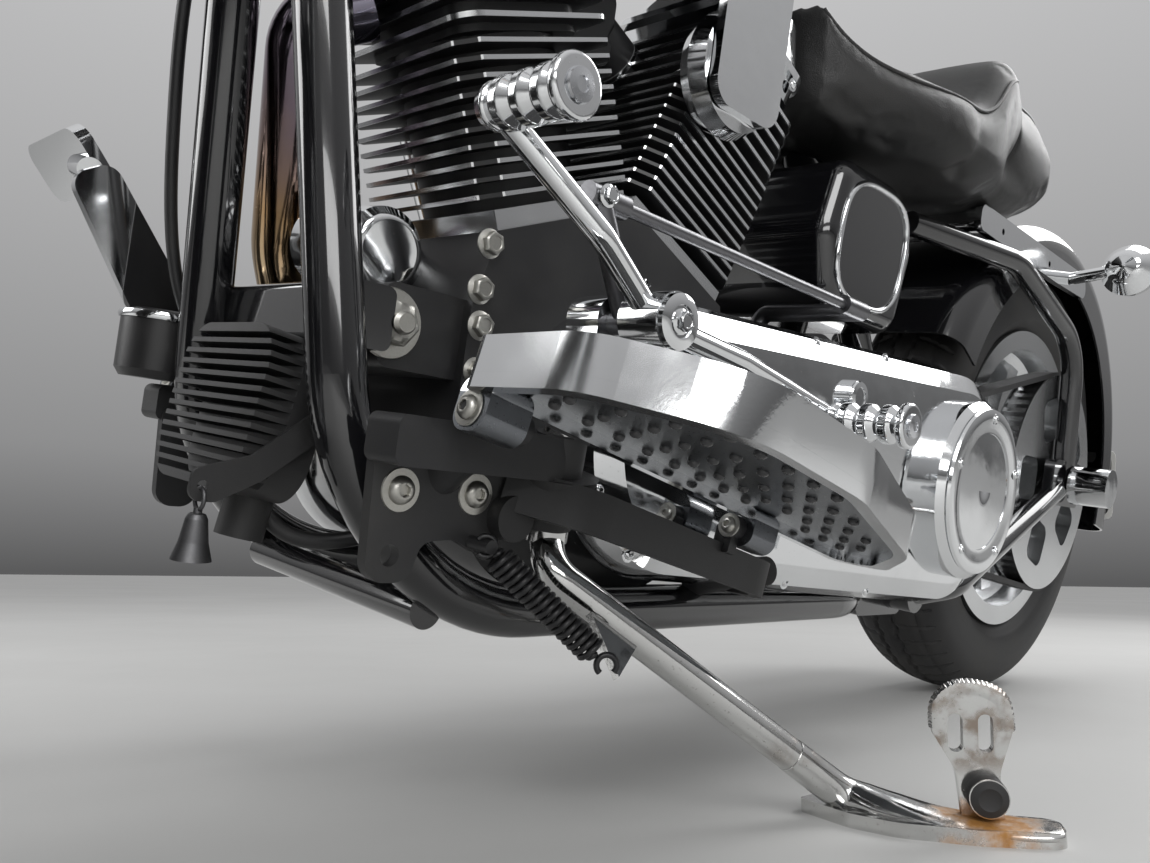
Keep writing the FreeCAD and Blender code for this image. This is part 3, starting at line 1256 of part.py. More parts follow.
LAMP_IN_FORK = shift(x=212, z=NECK_HIGH - 80) * turn(Y, size.rake_angle)
bowl = turned([
    (0, 0), (0, size.lamp_radius), (-16, size.lamp_radius + 4, 3), (-24, size.lamp_radius + 4), (-26, size.lamp_radius - 2),
    (-90, size.lamp_radius - 22, 40), (-118, 30, 30), (-122, 0),
])
lamp_stay = rod([Vector(80, 0, NECK_HIGH + 10), Vector(122, 0, NECK_HIGH - 34)], 16)
bowl = placed(bowl, LAMP_IN_FORK)
node(feature("headlamp", joined([bowl, lamp_stay]).cut(fork_whole)), FORK)

riser_top = NECK_HIGH + 70
bar_half = size.bar_half_width
grip_height = round(NECK_HIGH + 192)
bar_points = [
    (-185, bar_half, grip_height), (-110, bar_half - 150, grip_height + 23), (14, 150, riser_top + 8),
    (14, 0, riser_top),
]
bar_path = [Vector(x, y, z) for x, y, z in bar_points[:-1]] + [Vector(x, -y, z) for x, y, z in bar_points[-2::-1]]
handlebar = rod(bar_path, size.bar_radius, 80)
risers = [cylinder(17, Vector(14, side * 48, NECK_HIGH + 24.3), Z * 48) for side in (LEFT, RIGHT)]
clamp = rounded_box((-6, 34), (riser_top - 20, riser_top + 20), -66, 66, "y", 14)
node(feature("handlebar", joined([handlebar, clamp] + risers)), FORK)

grip_end, grip_knee = Vector(*bar_points[0]), Vector(*bar_points[1])
grip_way = (grip_knee - grip_end).normalize()
controls = []
for side in (LEFT, RIGHT):
    grip = cylinder(17, grip_end - grip_way * 4, grip_way * 122).cut(cylinder(size.bar_radius, grip_end - grip_way * 0.1, grip_way * 400))
    switch_start = grip_end + grip_way * 122
    switch = cylinder(24, switch_start, grip_way * 40).cut(handlebar)
    controls.append((grip, switch) if side == LEFT else (mirrored(grip), mirrored(switch)))
node(feature("grips", Part.makeCompound([pair[0] for pair in controls])), FORK)
lever_root = grip_end + grip_way * 146 + Vector(40, 8, -6)
lever_parts = []
for side in (LEFT, RIGHT):
    perch = rod([grip_end + grip_way * 146, lever_root], 12)
    tip = grip_end + Vector(52, 6, -10)
    blade = rod([lever_root, lever_root + Vector(22, 30, 0), tip], 6, 30)
    cup = rounded_box((-24, 24), (-16, 16), -14, 18, "y", 8)
    cup = placed(cup, shift(lever_root.x - 10, lever_root.y - 30, lever_root.z + 14))
    mirror_stem = rod([lever_root, lever_root + Vector(-20, -6, 130), lever_root + Vector(-46, 26, 178)], 5, 30)
    glass = placed(turned([(0, 0), (0, 58), (8, 60, 4), (22, 40, 20), (26, 0)]),
                   Placement(lever_root + Vector(-52, 40, 196), Rotation(X, Vector(1, 0, 0.55))))
    part = joined([perch, blade, mirror_stem, glass]).cut(handlebar)
    lever_parts.append(part if side == LEFT else mirrored(part))
lever_parts = [piece.cut([pair[1] for pair in controls]) for piece in lever_parts]
node(feature("hand_controls", Part.makeCompound([pair[1] for pair in controls] + lever_parts)), FORK)
front_lamps = []
stalk_height = round(NECK_HIGH - 130)
for side in (LEFT, RIGHT):
    at = Vector(118, side * 206, stalk_height + 10)
    stalk_start = Vector(leg_x, side * (spread + 29), stalk_height)
    stalk = cylinder(8, stalk_start, Vector(at.x - leg_x - 14, side * (206 - spread - 29), 10))
    lamp = placed(signal(Vector(), Vector(1, 0, 0)), Placement(at, Rotation(Y, size.rake_angle)))
    front_lamps.append(joined([stalk, lamp]))
node(feature("front_signals", Part.makeCompound(front_lamps).cut(fork_whole)), FORK)

# Small bell that hangs from a tab between the down tubes

ring_centre = BELL_HOOK - Z * (6 + 1.5)
bell_top = ring_centre - Z * 8
bell_shell = turned([
    (-3, 0), (-3, 2.4), (0, 2.4), (0, 4.4, 2), (3, 6, 2), (16, 8, 8), (26, 11), (26, 9.4), (16, 6.4, 6), (5, 4.4, 2), (5, 0),
], Placement(bell_top, Rotation(Y, 90)))
bell_ring = Part.makeTorus(6, 1.2, ring_centre, X)
bell_shell = joined([bell_shell, bell_ring])
node(feature("bell", bell_shell))

# Every piece takes its place in the stance, with the model's origin under the middle of its box

doc.recompute()
for made, place in nodes:
    made.Placement = STANCE_RAISED * place
doc.recompute()
whole = Part.makeCompound([made.Shape for made, place in nodes])
box = whole.optimalBoundingBox(False)
ORIGIN = Vector((box.XMin + box.XMax) / 2, (box.YMin + box.YMax) / 2, 0)
for made, place in nodes:
    made.Placement = Placement(-ORIGIN, Rotation()) * STANCE_RAISED * place
doc.recompute()
STANCE = Placement(-ORIGIN, Rotation()) * STANCE_RAISED

for made in doc.Objects:
    if "Invalid" in made.State or "Error" in made.State:
        raise RuntimeError(f"{made.Name} did not compute")
os.makedirs("parts", exist_ok=True)
for made, place in nodes:
    shape = made.Shape
    if shape.isNull() or not shape.isValid() or not shape.Solids:
        raise RuntimeError(f"{made.Label} is not a valid solid")
    shape.exportStep(f"parts/{made.Label}.step")
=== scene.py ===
# %% [markdown]
# A cruiser motorcycle seen from the floor, parked on its side stand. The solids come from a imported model
# that never moves here. This lesson gives them their finishes, adds what is too fine for the solids, such
# as bolt heads, springs, rubber plugs, tread and stitching, and sets up the camera, the floor and the
# light.

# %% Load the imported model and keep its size
import json
import math
import bmesh
import bpy
import numpy as np
from mathutils import Matrix, Vector


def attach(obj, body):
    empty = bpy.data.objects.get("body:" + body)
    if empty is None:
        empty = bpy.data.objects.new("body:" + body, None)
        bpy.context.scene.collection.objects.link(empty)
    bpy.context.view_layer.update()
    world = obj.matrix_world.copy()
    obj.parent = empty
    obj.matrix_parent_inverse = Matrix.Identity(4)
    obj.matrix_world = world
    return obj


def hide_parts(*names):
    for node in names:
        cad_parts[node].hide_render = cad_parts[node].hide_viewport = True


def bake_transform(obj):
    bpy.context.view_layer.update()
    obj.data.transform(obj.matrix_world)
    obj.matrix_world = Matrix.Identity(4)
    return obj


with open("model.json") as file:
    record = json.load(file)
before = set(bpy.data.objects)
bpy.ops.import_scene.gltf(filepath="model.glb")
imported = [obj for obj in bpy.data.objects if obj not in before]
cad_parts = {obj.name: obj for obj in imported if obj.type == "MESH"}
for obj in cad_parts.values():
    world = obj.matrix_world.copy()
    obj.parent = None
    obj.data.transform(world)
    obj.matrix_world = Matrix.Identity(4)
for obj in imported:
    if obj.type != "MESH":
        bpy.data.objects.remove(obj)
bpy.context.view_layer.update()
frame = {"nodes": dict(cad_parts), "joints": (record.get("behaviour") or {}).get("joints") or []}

# %% [markdown]
# A motorcycle is symmetrical only while it stands upright, and here it leans on its stand with the fork
# turned to its stop. So every new piece is worked out in millimetres in one of two easy frames and then
# carried over. The upright frame has its origin on the floor under the rear axle, X ahead and Y to the
# rider's left. The fork frame has Z up the steering axis and X ahead of it. Each is a turn and a shift,
# written as three rows of four, and the axes of the wheels and of the steering give both.

# %% The upright frame and the fork's frame
MM = 1000.0
REAR_RADIUS, FRONT_RADIUS = 323.0, 320.0
RAKE = 32.0
REAR_AXLE = np.array([0.0, 0.0, REAR_RADIUS])
FRONT_AXLE = np.array([45.0, 0.0, 0.0])
joints = {joint["name"]: joint for joint in frame["joints"]}


def unit(vectors):
    """A vector, or each row of vectors, divided by its length."""
    vectors = np.asarray(vectors, float)
    return vectors / np.linalg.norm(vectors, axis=-1, keepdims=True)


def about_y(degrees):
    """Turn about Y that tips Z ahead: cosine and sine in the rows of X and Z."""
    c, s = math.cos(math.radians(degrees)), math.sin(math.radians(degrees))
    return np.array([[c, 0, s], [0, 1, 0], [-s, 0, c]])


def through(joint, turn, point):
    """Three rows of four with the given turn, in which the point lies on the joint."""
    return np.column_stack([turn, MM * np.array(joints[joint]["pos_m"]) - turn @ point])


steering_axis = unit(joints["steering"]["axis"])
rear_across = unit(joints["rear_wheel_spin"]["axis"])
front_across = unit(joints["front_wheel_spin"]["axis"])
# Z leans back along the steering axis here, and the rake stands it up again.
raked = np.column_stack([unit(np.cross(rear_across, steering_axis)), rear_across, steering_axis])
UPRIGHT = through("rear_wheel_spin", raked @ about_y(RAKE), REAR_AXLE)
fork_turn = np.column_stack([np.cross(front_across, steering_axis), front_across, steering_axis])
FORK = through("front_wheel_spin", fork_turn, FRONT_AXLE)


def in_place(points, place=UPRIGHT):
    """Carries points in millimetres from an easy frame to metres in the model's frame: turn, then shift."""
    return (np.asarray(points, float) @ place[:, :3].T + place[:, 3]) / MM


def from_row(points, place=UPRIGHT):
    """Millimetres in an easy frame from metres in the model's frame: the inverse of in_place."""
    return (np.asarray(points) * MM - place[:, 3]) @ place[:, :3]


def frame_at(start, turn=np.eye(3), place=UPRIGHT):
    """Easy frame whose origin is moved to a start and whose axes are turned."""
    return np.column_stack([place[:, :3] @ turn, place[:, :3] @ start + place[:, 3]])


def plain(vector):
    """Tuple of plain numbers, as a node's socket takes it."""
    return tuple(float(v) for v in vector)


print("upright frame", UPRIGHT.round(4).tolist())

# %% [markdown]
# The photograph was taken with the camera nearly on the floor, ahead of the left side, with a wide lens
# tilted a little up. The place and the two directions below were solved from known sizes of the wheels, the
# tubes and the angle between the barrels, so every piece lands on the pixel where the photograph has it.

# %% The camera
PICTURE_WIDTH = 1150
FOCAL_PIXELS = 922.0
SENSOR = 36.0


def linked(name, data):
    """New object for the data, linked to the scene."""
    made = bpy.data.objects.new(name, data)
    bpy.context.scene.collection.objects.link(made)
    return made


eye = Vector((0.66098, 0.50854, 0.1569))
ahead = Vector((-0.7004436, -0.6965266, 0.155658)).normalized()
upward = Vector((0.1184457, 0.1016273, 0.9877462))
rightward = ahead.cross(upward).normalized()
upward = rightward.cross(ahead)
camera = linked("camera", bpy.data.cameras.new("camera"))
camera.data.sensor_width = SENSOR
camera.data.lens = SENSOR * FOCAL_PIXELS / PICTURE_WIDTH
camera.data.clip_start = 0.01
turn = Matrix((rightward, upward, -ahead)).transposed()
camera.matrix_world = Matrix.Translation(eye) @ turn.to_4x4()
bpy.context.scene.camera = camera
print("lens", round(camera.data.lens, 2), "mm")

# %% [markdown]
# Shader maths reads best as arithmetic. The class below wraps one socket, and each operator adds the Math
# node that does it, also where the number comes first, as in 1 - mask. Vectors and colours have methods of
# their own, because a Math node would turn them grey. A second class holds a material in the making, and
# its one method adds any other node: its type, its settings, and the values or links of its sockets.

# %% Sockets that take part in arithmetic


def operator(operation, swapped=False):
    """Method that adds a Math node for two values, in the order of the expression or swapped."""
    def method(self, other):
        first, second = (other, self) if swapped else (self, other)
        return self.finish.add("ShaderNodeMath", {"operation": operation}, {0: first, 1: second})
    return method


class Wire:
    """One output socket of a material in the making."""

    __add__, __radd__ = operator("ADD"), operator("ADD", True)
    __sub__, __rsub__ = operator("SUBTRACT"), operator("SUBTRACT", True)
    __mul__, __rmul__ = operator("MULTIPLY"), operator("MULTIPLY", True)
    __pow__ = operator("POWER")
    most, least = operator("MAXIMUM"), operator("MINIMUM")
    angle_over = operator("ARCTAN2")

    def __init__(self, finish, socket):
        self.finish = finish
        self.socket = socket

    def alone(self, operation):
        """Math node of one value, such as SINE."""
        return self.finish.add("ShaderNodeMath", {"operation": operation}, {0: self})

    def __abs__(self):
        """The value without its sign."""
        return self.alone("ABSOLUTE")

    def step(self, low, high):
        """0 below low, 1 above high and a smooth rise between: 3t squared less 2t cubed."""
        sockets = {"Value": self, "From Min": low, "From Max": high}
        return self.finish.add("ShaderNodeMapRange", {"interpolation_type": "SMOOTHSTEP"}, sockets)

    def vector(self, operation, other=(0.0, 0.0, 0.0), out=0):
        """Vector Math node with another vector."""
        return self.finish.add("ShaderNodeVectorMath", {"operation": operation}, {0: self, 1: other}, out)

    def along(self, other):
        """How far a vector reaches along a direction: the dot product."""
        return self.vector("DOT_PRODUCT", other, "Value")

    def moved(self, other):
        """The vector less another one."""
        return self.vector("SUBTRACT", other)

    def length(self):
        """How long the vector is."""
        return self.vector("LENGTH", out="Value")


class Finish:
    """A material in the making."""

    def __init__(self, name):
        self.material = bpy.data.materials.new(name)
        self.material.use_nodes = True
        self.tree = self.material.node_tree
        self.tree.nodes.clear()

    def add(self, kind, settings=None, sockets=None, out=0):
        """Adds a node, sets it up, plugs in its sockets and gives back one of its outputs."""
        made = self.tree.nodes.new(kind)
        for key, value in (settings or {}).items():
            if key == "stops":
                elements = made.color_ramp.elements
                for _ in range(len(value) - len(elements)):
                    elements.new(0.5)
                for element, (position, colour) in zip(elements, value):
                    element.position = position
                    element.color = (*colour, 1.0)
            else:
                setattr(made, key, value)
        for key, value in (sockets or {}).items():
            if isinstance(value, Wire):
                self.tree.links.new(value.socket, made.inputs[key])
            elif isinstance(value, tuple) and made.inputs[key].type == "RGBA":
                made.inputs[key].default_value = (*value, 1.0)
            else:
                made.inputs[key].default_value = value
        return Wire(self, made.outputs[out] if len(made.outputs) else None)

    def where(self):
        """The point on the object, in metres."""
        return self.add("ShaderNodeTexCoord", out="Object")

    def noise(self, scale, detail=3.0, at=None, roughness=0.5):
        """Smooth random value from 0 to 1 whose blobs are about 1 / scale metres wide."""
        at = at or self.where()
        sockets = {"Vector": at, "Scale": scale, "Detail": detail, "Roughness": roughness}
        return self.add("ShaderNodeTexNoise", None, sockets)

    def mixed(self, share, first, second):
        """Colour that goes from the first to the second as the share goes from 0 to 1."""
        return self.add("ShaderNodeMix", {"data_type": "RGBA"}, {0: share, 6: first, 7: second}, 2)

    def bump(self, height, distance, strength=1.0):
        """Normal tilted as if the surface stood up by the height times the distance in metres."""
        sockets = {"Height": height, "Distance": distance, "Strength": strength}
        return self.add("ShaderNodeBump", None, sockets)

    def surface(self, **sockets):
        """The shader and the output. Constants stay on the shader's own sockets."""
        named = {key.replace("_", " "): value for key, value in sockets.items()}
        shader = self.add("ShaderNodeBsdfPrincipled", None, named)
        self.add("ShaderNodeOutputMaterial", None, {"Surface": shader})
        print("finish", self.material.name, "has", len(self.tree.nodes), "nodes")
        return self.material


# %% [markdown]
# Chrome is a mirror with a life: it has faint smudges, dust that dulls it and a wave too small to see
# except in its reflections. One recipe with a few numbers serves every plated piece, from the clean lamp
# shell to the stand's scuffed leg. The smudges move the roughness, and the wave is a bump.

# %% Plated and bright metals
PLATE, WORN_PLATE, STEEL = (0.78, 0.79, 0.8), (0.7, 0.7, 0.7), (0.45, 0.45, 0.46)
RING_LINES = 1400.0


def plated(name, colour=PLATE, rough=0.05, smudge=0.16, wave=0.00012, specks=0.25, seed=(0.0, 0.0, 0.0)):
    """Mirror metal: roughness is rough plus smudge times a cloudy noise; a finer noise gives dark specks."""
    f = Finish(name)
    at = f.where().moved(seed)
    clouds = f.noise(9.0, 4.0, at, 0.6).step(0.42, 0.78)
    grit = f.noise(420.0, 2.0, at).step(0.66, 0.8)
    tone = f.mixed(grit * specks + clouds * 0.12, colour, tuple(0.45 * c for c in colour))
    normal = f.bump(f.noise(26.0, 2.0, at), wave * 8, 0.35)
    dull = clouds * smudge + grit * 0.2 + rough
    return f.surface(Base_Color=tone, Roughness=dull, Metallic=1.0, Normal=normal)


def brushed(name, colour, rough, centre=None, axis=(0.0, 1.0, 0.0)):
    """Ground or cast metal. With a centre, the scratches are rings about the axis: noise of the radius."""
    f = Finish(name)
    if centre is None:
        grain = f.noise(700.0, 3.0)
    else:
        arm = f.where().moved(plain(centre))
        height = arm.along(plain(axis))
        radius = (arm.length() ** 2.0 - height ** 2.0).most(0.0) ** 0.5
        rings = f.add("ShaderNodeCombineXYZ", None, {"X": radius, "Y": height * 0.05})
        grain = f.noise(RING_LINES, 2.0, rings)
    clouds = f.noise(14.0, 4.0)
    tone = f.mixed(grain * 0.5 + clouds * 0.3, colour, tuple(0.6 * c for c in colour))
    dull = clouds * 0.12 + grain * 0.1 + rough
    return f.surface(Base_Color=tone, Roughness=dull, Metallic=1.0, Normal=f.bump(grain, 0.00004, 0.5))


# %% [markdown]
# Three blacks make the machine: gloss enamel on the tubes and bodywork, satin powder coat on the castings,
# and rubber. They differ less in colour than in how sharp their highlights are. Enamel gets a clear coat
# and a trace of dust, powder coat a fine pebbled bump, and rubber a wide soft highlight with a grey bloom.

# %% Blacks: enamel, powder coat and rubber


def enamel(name, colour=(0.006, 0.006, 0.007), dust=0.35):
    """Gloss paint: dark base under a clear coat, with dust where a cloudy noise is high."""
    f = Finish(name)
    clouds = f.noise(7.0, 5.0).step(0.45, 0.8)
    grains = f.noise(900.0, 1.0).step(0.62, 0.75)
    film = clouds * grains * dust
    tone = f.mixed(film, colour, (0.09, 0.088, 0.082))
    normal = f.bump(f.noise(240.0, 2.0), 0.00002, 0.35)
    return f.surface(Base_Color=tone, Roughness=film * 0.4 + clouds * 0.05 + 0.13, Normal=normal,
                     Coat_Weight=1.0, Coat_Roughness=0.035, Specular_IOR_Level=0.55)


def powder(name, colour=(0.014, 0.014, 0.015), rough=0.4, pebble=0.00009, dust=0.3):
    """Powder-coated casting: pebbled bump, satin highlight, dust in clouds."""
    f = Finish(name)
    pebbles = f.noise(520.0, 3.0, None, 0.6)
    clouds = f.noise(11.0, 5.0).step(0.4, 0.8)
    tone = f.mixed(clouds * dust, colour, (0.06, 0.058, 0.054))
    normal = f.bump(pebbles, pebble, 0.6)
    return f.surface(Base_Color=tone, Roughness=clouds * 0.14 + pebbles * 0.06 + rough, Normal=normal)


def rubber(name, colour=(0.016, 0.016, 0.017), rough=0.55, bloom=0.4):
    """Rubber: wide highlight, fine grain and a grey bloom in clouds."""
    f = Finish(name)
    clouds = f.noise(16.0, 5.0).step(0.38, 0.8)
    tone = f.mixed(clouds * bloom, colour, (0.065, 0.063, 0.06))
    normal = f.bump(f.noise(1100.0, 2.0), 0.00006, 0.5)
    return f.surface(Base_Color=tone, Roughness=clouds * 0.18 + rough, Normal=normal)


# %% [markdown]
# Lamps have a clear or coloured moulded lens over a bright bowl. The lens is the shader's own transmission
# with ribs as a bump, which keeps the glass cheap to render and gives the same look from every side.

# %% Glass


def lens(name, colour, ribs=180.0, axis=(1.0, 0.0, 0.0)):
    """Moulded glass with ribs: the bump is a sine along one direction, with so many ribs to the metre."""
    f = Finish(name)
    wave = (f.where().along(axis) * (ribs * 2 * math.pi)).alone("SINE")
    return f.surface(Base_Color=colour, Roughness=f.noise(30.0) * 0.06 + 0.03, Transmission_Weight=0.85,
                     IOR=1.46, Normal=f.bump(wave, 0.0004, 0.5))


# %% [markdown]
# A barrel, a head or a fork carries two finishes on one casting: black between the fins and bare polished
# metal on their edges. A mask in the casting's own directions says which is which, and colour, roughness
# and metal all follow it.

# %% Castings with bright machined parts


def two_tone(name, mask_of, bright=(0.74, 0.75, 0.76), dark=(0.013, 0.013, 0.014), bright_rough=0.16,
             dark_rough=0.42):
    """Powder coat that turns into polished metal where the mask is 1."""
    f = Finish(name)
    mask = mask_of(f)
    pebbles = f.noise(620.0, 3.0, None, 0.6)
    clouds = f.noise(13.0, 5.0).step(0.4, 0.8)
    coat = f.mixed(clouds * 0.3, dark, (0.055, 0.053, 0.05))
    dull = (clouds * 0.12 + dark_rough) * (1 - mask) + mask * (clouds * 0.12 + bright_rough)
    normal = f.bump(pebbles * (1 - mask), 0.0001, 0.6)
    return f.surface(Base_Color=f.mixed(mask, coat, bright), Roughness=dull, Metallic=mask, Normal=normal)


def local(f, place=UPRIGHT, origin=(0.0, 0.0, 0.0)):
    """The three coordinates, in millimetres, of the point in an easy frame with its origin moved."""
    at = f.where().moved(plain(in_place(origin, place)))
    return [at.along(plain(place[:, k] * MM)) for k in range(3)]


# %% [markdown]
# The barrels, the heads and the fork's yokes and tubes are single solids, so their masks are worked out in
# their own frames. A barrel's fins end about 75 mm ahead and 80 mm to the side of its bore, and the last
# millimetre of each is polished. Its foot is a polished strip. The fork's tubes are plated, and the yokes
# that clamp them are black.

# %% Masks of the two-tone castings
HALF_VEE = 22.5
BLEND = 0.4
TUBE_RADIUS = 20.65
crank = np.array([912.0, 0.0, 290.0])


def bore_frame(sign):
    """Frame at the crank whose Z runs up the front bore, for a sign of 1, or up the rear one, for -1."""
    return frame_at(crank, about_y(sign * HALF_VEE))


def rounded_rim(x, y, core, corner, side):
    """1 past the edge of a rounded rectangle, whose corners are centred at plus and minus the core."""
    away = ((abs(x) - core[0]).most(0.0) ** 2.0 + (abs(y) - core[1]).most(0.0) ** 2.0) ** 0.5
    rim = away.step(corner, corner + BLEND)
    for value, middle in zip((x, y), core):
        rim = rim.most(abs(value).step(middle + side, middle + side + BLEND))
    return rim


def fin_edges(sign):
    """Mask of one barrel: the rims of its fins and the strip at its foot."""
    def mask(f):
        x, y, z = local(f, bore_frame(sign))
        return rounded_rim(x, y, (61.0, 66.0), 12.6, 12.6).most(1 - z.step(178.5, 179.0))
    return mask


def head_edges(f):
    """Both heads in one node: the bright rims of either set of fins."""
    masks = []
    for sign in (1, -1):
        x, y, z = local(f, bore_frame(sign))
        near = (1 - abs(x).step(74.0, 76.0)) * (1 - abs(y).step(82.0, 84.0))
        rim = rounded_rim(x, y, (54.0, 62.0), 16.6, 16.8)
        masks.append(rim * near * z.step(290.0, 292.0) * (1 - z.step(379.0, 380.0)))
    return masks[0].most(masks[1])


def fork_tubes(f):
    """1 on the fork tubes' plated surface below, between and above the yokes."""
    x, y, z = local(f, FORK)
    radius = ((x - FRONT_AXLE[0]) ** 2.0 + (abs(y) - 120.0) ** 2.0) ** 0.5
    return 1 - radius.step(TUBE_RADIUS + 0.55, TUBE_RADIUS + 1.15)


# %% [markdown]
# A node keeps its solid and takes a new material on its slot. The list says which finish each one gets.
# What is black, plated or bare follows the photograph on the side that it shows, and what such a machine
# has on the sides that it hides.

# %% Finishes of the solids
chrome = plated("chrome")
chrome_scuffed = plated("chrome_scuffed", WORN_PLATE, 0.09, 0.3, 0.0004, 0.6, (0.3, 0.1, 0.2))
chrome_satin = plated("chrome_satin", (0.62, 0.63, 0.65), 0.16, 0.2, 0.0003, 0.4)
gloss_black = enamel("gloss_black")
body_black = enamel("body_black", (0.005, 0.005, 0.006), 0.15)
satin_black = powder("satin_black")
case_black = powder("case_black", (0.011, 0.011, 0.012), 0.36, 0.00007, 0.35)
cast_black = powder("cast_black", (0.017, 0.017, 0.018), 0.46, 0.00014, 0.4)
front_barrel = two_tone("front_barrel", fin_edges(1))
rear_barrel = two_tone("rear_barrel", fin_edges(-1))
heads_finish = two_tone("heads_finish", head_edges)
fork_finish = two_tone("fork_finish", fork_tubes, PLATE, (0.008, 0.008, 0.009), 0.06, 0.25)
wheel_alloy = brushed("wheel_alloy", (0.72, 0.73, 0.74), 0.12)
slider_alloy = brushed("slider_alloy", (0.7, 0.71, 0.72), 0.16)
zinc_plate = brushed("zinc_plate", (0.56, 0.55, 0.51), 0.24)
rear_disc_steel = brushed("rear_disc_steel", STEEL, 0.24, in_place(REAR_AXLE), rear_across)
front_disc_steel = brushed("front_disc_steel", STEEL, 0.24, in_place(FRONT_AXLE, FORK), front_across)
black_rubber = rubber("black_rubber")
tyre_rubber = rubber("tyre_rubber", (0.014, 0.014, 0.015), 0.6, 0.7)
pewter = brushed("pewter", (0.16, 0.16, 0.165), 0.38)
linkage_steel = brushed("linkage_steel", (0.2, 0.2, 0.21), 0.2)
finishes = [
    (chrome, "rear_axle cam_cover rocker_covers pushrod_tubes air_cleaner primary_cover exhaust_pipes "
             "mufflers oil_filter horn shift_lever brake_pedal tank_console fender_struts rear_lamps "
             "front_axle headlamp handlebar hand_controls front_signals"),
    (chrome_satin, "floorboard_left floorboard_right"),
    (chrome_scuffed, "side_stand"),
    (gloss_black, "frame_spine frame_rails swingarm stand_spring"),
    (body_black, "oil_tank fuel_tank rear_fender front_fender"),
    (satin_black, "intake"),
    (case_black, "crankcase gearbox"),
    (cast_black, "regulator left_bracket right_bracket rear_caliper front_caliper"),
    (front_barrel, "front_cylinder"),
    (rear_barrel, "rear_cylinder"),
    (heads_finish, "cylinder_heads"),
    (fork_finish, "fork_yokes"),
    (wheel_alloy, "front_rim rear_rim rear_pulley belt_pulley"),
    (slider_alloy, "fork_sliders"),
    (front_disc_steel, "front_disc"),
    (rear_disc_steel, "rear_disc"),
    (tyre_rubber, "front_tyre rear_tyre"),
    (black_rubber, "drive_belt seat grips"),
    (linkage_steel, "shift_linkage"),
    (pewter, "bell"),
]


def dress(name, finish):
    """Gives a solid its one material."""
    slots = frame["nodes"][name].data.materials
    slots.clear()
    slots.append(finish)


for finish, names in finishes:
    for name in names.split():
        dress(name, finish)
print(sum(len(names.split()) for finish, names in finishes), "solids have a finish")

# %% [markdown]
# The small parts are surfaces of two parameters: a profile turned about an axis, a ring carried along a
# path, or a sheet over a grid. Every one is worked out as a whole array and stitched into quads the same
# way. Poles are closed by merging points that fall together, and then all faces are turned outwards.

# %% Grids, turned profiles and swept tubes


def grid_faces(rows, columns, wrap_rows=False, wrap_columns=False):
    """Quads between neighbours of a grid of points that are stored row by row."""
    starts = np.arange(rows - (not wrap_rows)), np.arange(columns - (not wrap_columns))
    i, j = np.meshgrid(*starts, indexing="ij")
    here, right = i * columns + j, i * columns + (j + 1) % columns
    below, across = (i + 1) % rows * columns + j, (i + 1) % rows * columns + (j + 1) % columns
    return np.stack([here, right, across, below], -1).reshape(-1, 4)


def around(steps):
    """Cosines and sines of angles spread evenly over a full turn."""
    angle = np.linspace(0, 2 * math.pi, steps, endpoint=False)
    return np.cos(angle), np.sin(angle)


def rounded_square(power, steps):
    """Superellipse: the circle's cosine and sine, over the root of the sum of their powers."""
    c, s = around(steps)
    reach = (np.abs(c) ** power + np.abs(s) ** power) ** (-1 / power)
    return reach * c, reach * s


def upon(points, at, axis, spin=0.0):
    """Carries points made about Z so that Z runs along the axis through a point."""
    turn = Vector((0, 0, 1)).rotation_difference(Vector(axis).normalized())
    turn = turn @ Matrix.Rotation(spin, 3, "Z").to_quaternion()
    return np.asarray(points) @ np.array(turn.to_matrix()).T + np.asarray(at, float)


def turned(rows, steps=32):
    """Rows of (radius, height, hexagon): a flat divides the radius by the cosine from its middle."""
    rows = np.array([(*row, 0.0)[:3] for row in rows])
    angle = np.linspace(0, 2 * math.pi, steps, endpoint=False)
    flat = 1 / np.cos((angle + math.pi / 6) % (math.pi / 3) - math.pi / 6)
    radius = rows[:, :1] * (1 + rows[:, 2:] * (flat - 1))
    points = np.stack([radius * np.cos(angle), radius * np.sin(angle), rows[:, 1:2] + 0 * angle], -1)
    return points.reshape(-1, 3), grid_faces(len(rows), steps, wrap_columns=True)


def turned_on(rows, at, axis, steps=32, spin=0.0):
    """Turned profile that stands on a point, its own Z along the axis."""
    points, faces = turned(rows, steps)
    return upon(points, at, axis, spin), faces


def swept(path, radius, sides=10, up=(0.0, 0.0, 1.0), closed=False):
    """Ring of points carried along a path: side is tangent cross up, and the radius may be one per point."""
    path = np.asarray(path, float)
    tangent = unit(np.roll(path, -1, 0) - np.roll(path, 1, 0) if closed else np.gradient(path, axis=0))
    side = unit(np.cross(tangent, up))
    over = np.cross(side, tangent)
    c, s = around(sides)
    reach = np.broadcast_to(np.asarray(radius, float), len(path))[:, None, None]
    points = path[:, None] + reach * (c[:, None] * side[:, None] + s[:, None] * over[:, None])
    if not closed:
        points = capped(points, path)
    return points.reshape(-1, 3), grid_faces(len(points), sides, closed, True)


def capped(rings, path):
    """Rings of a tube with one more ring at each end, all of it on the path, which closes the end."""
    sides = rings.shape[1]
    return np.concatenate([path[None, :1].repeat(sides, 1), rings, path[None, -1:].repeat(sides, 1)])


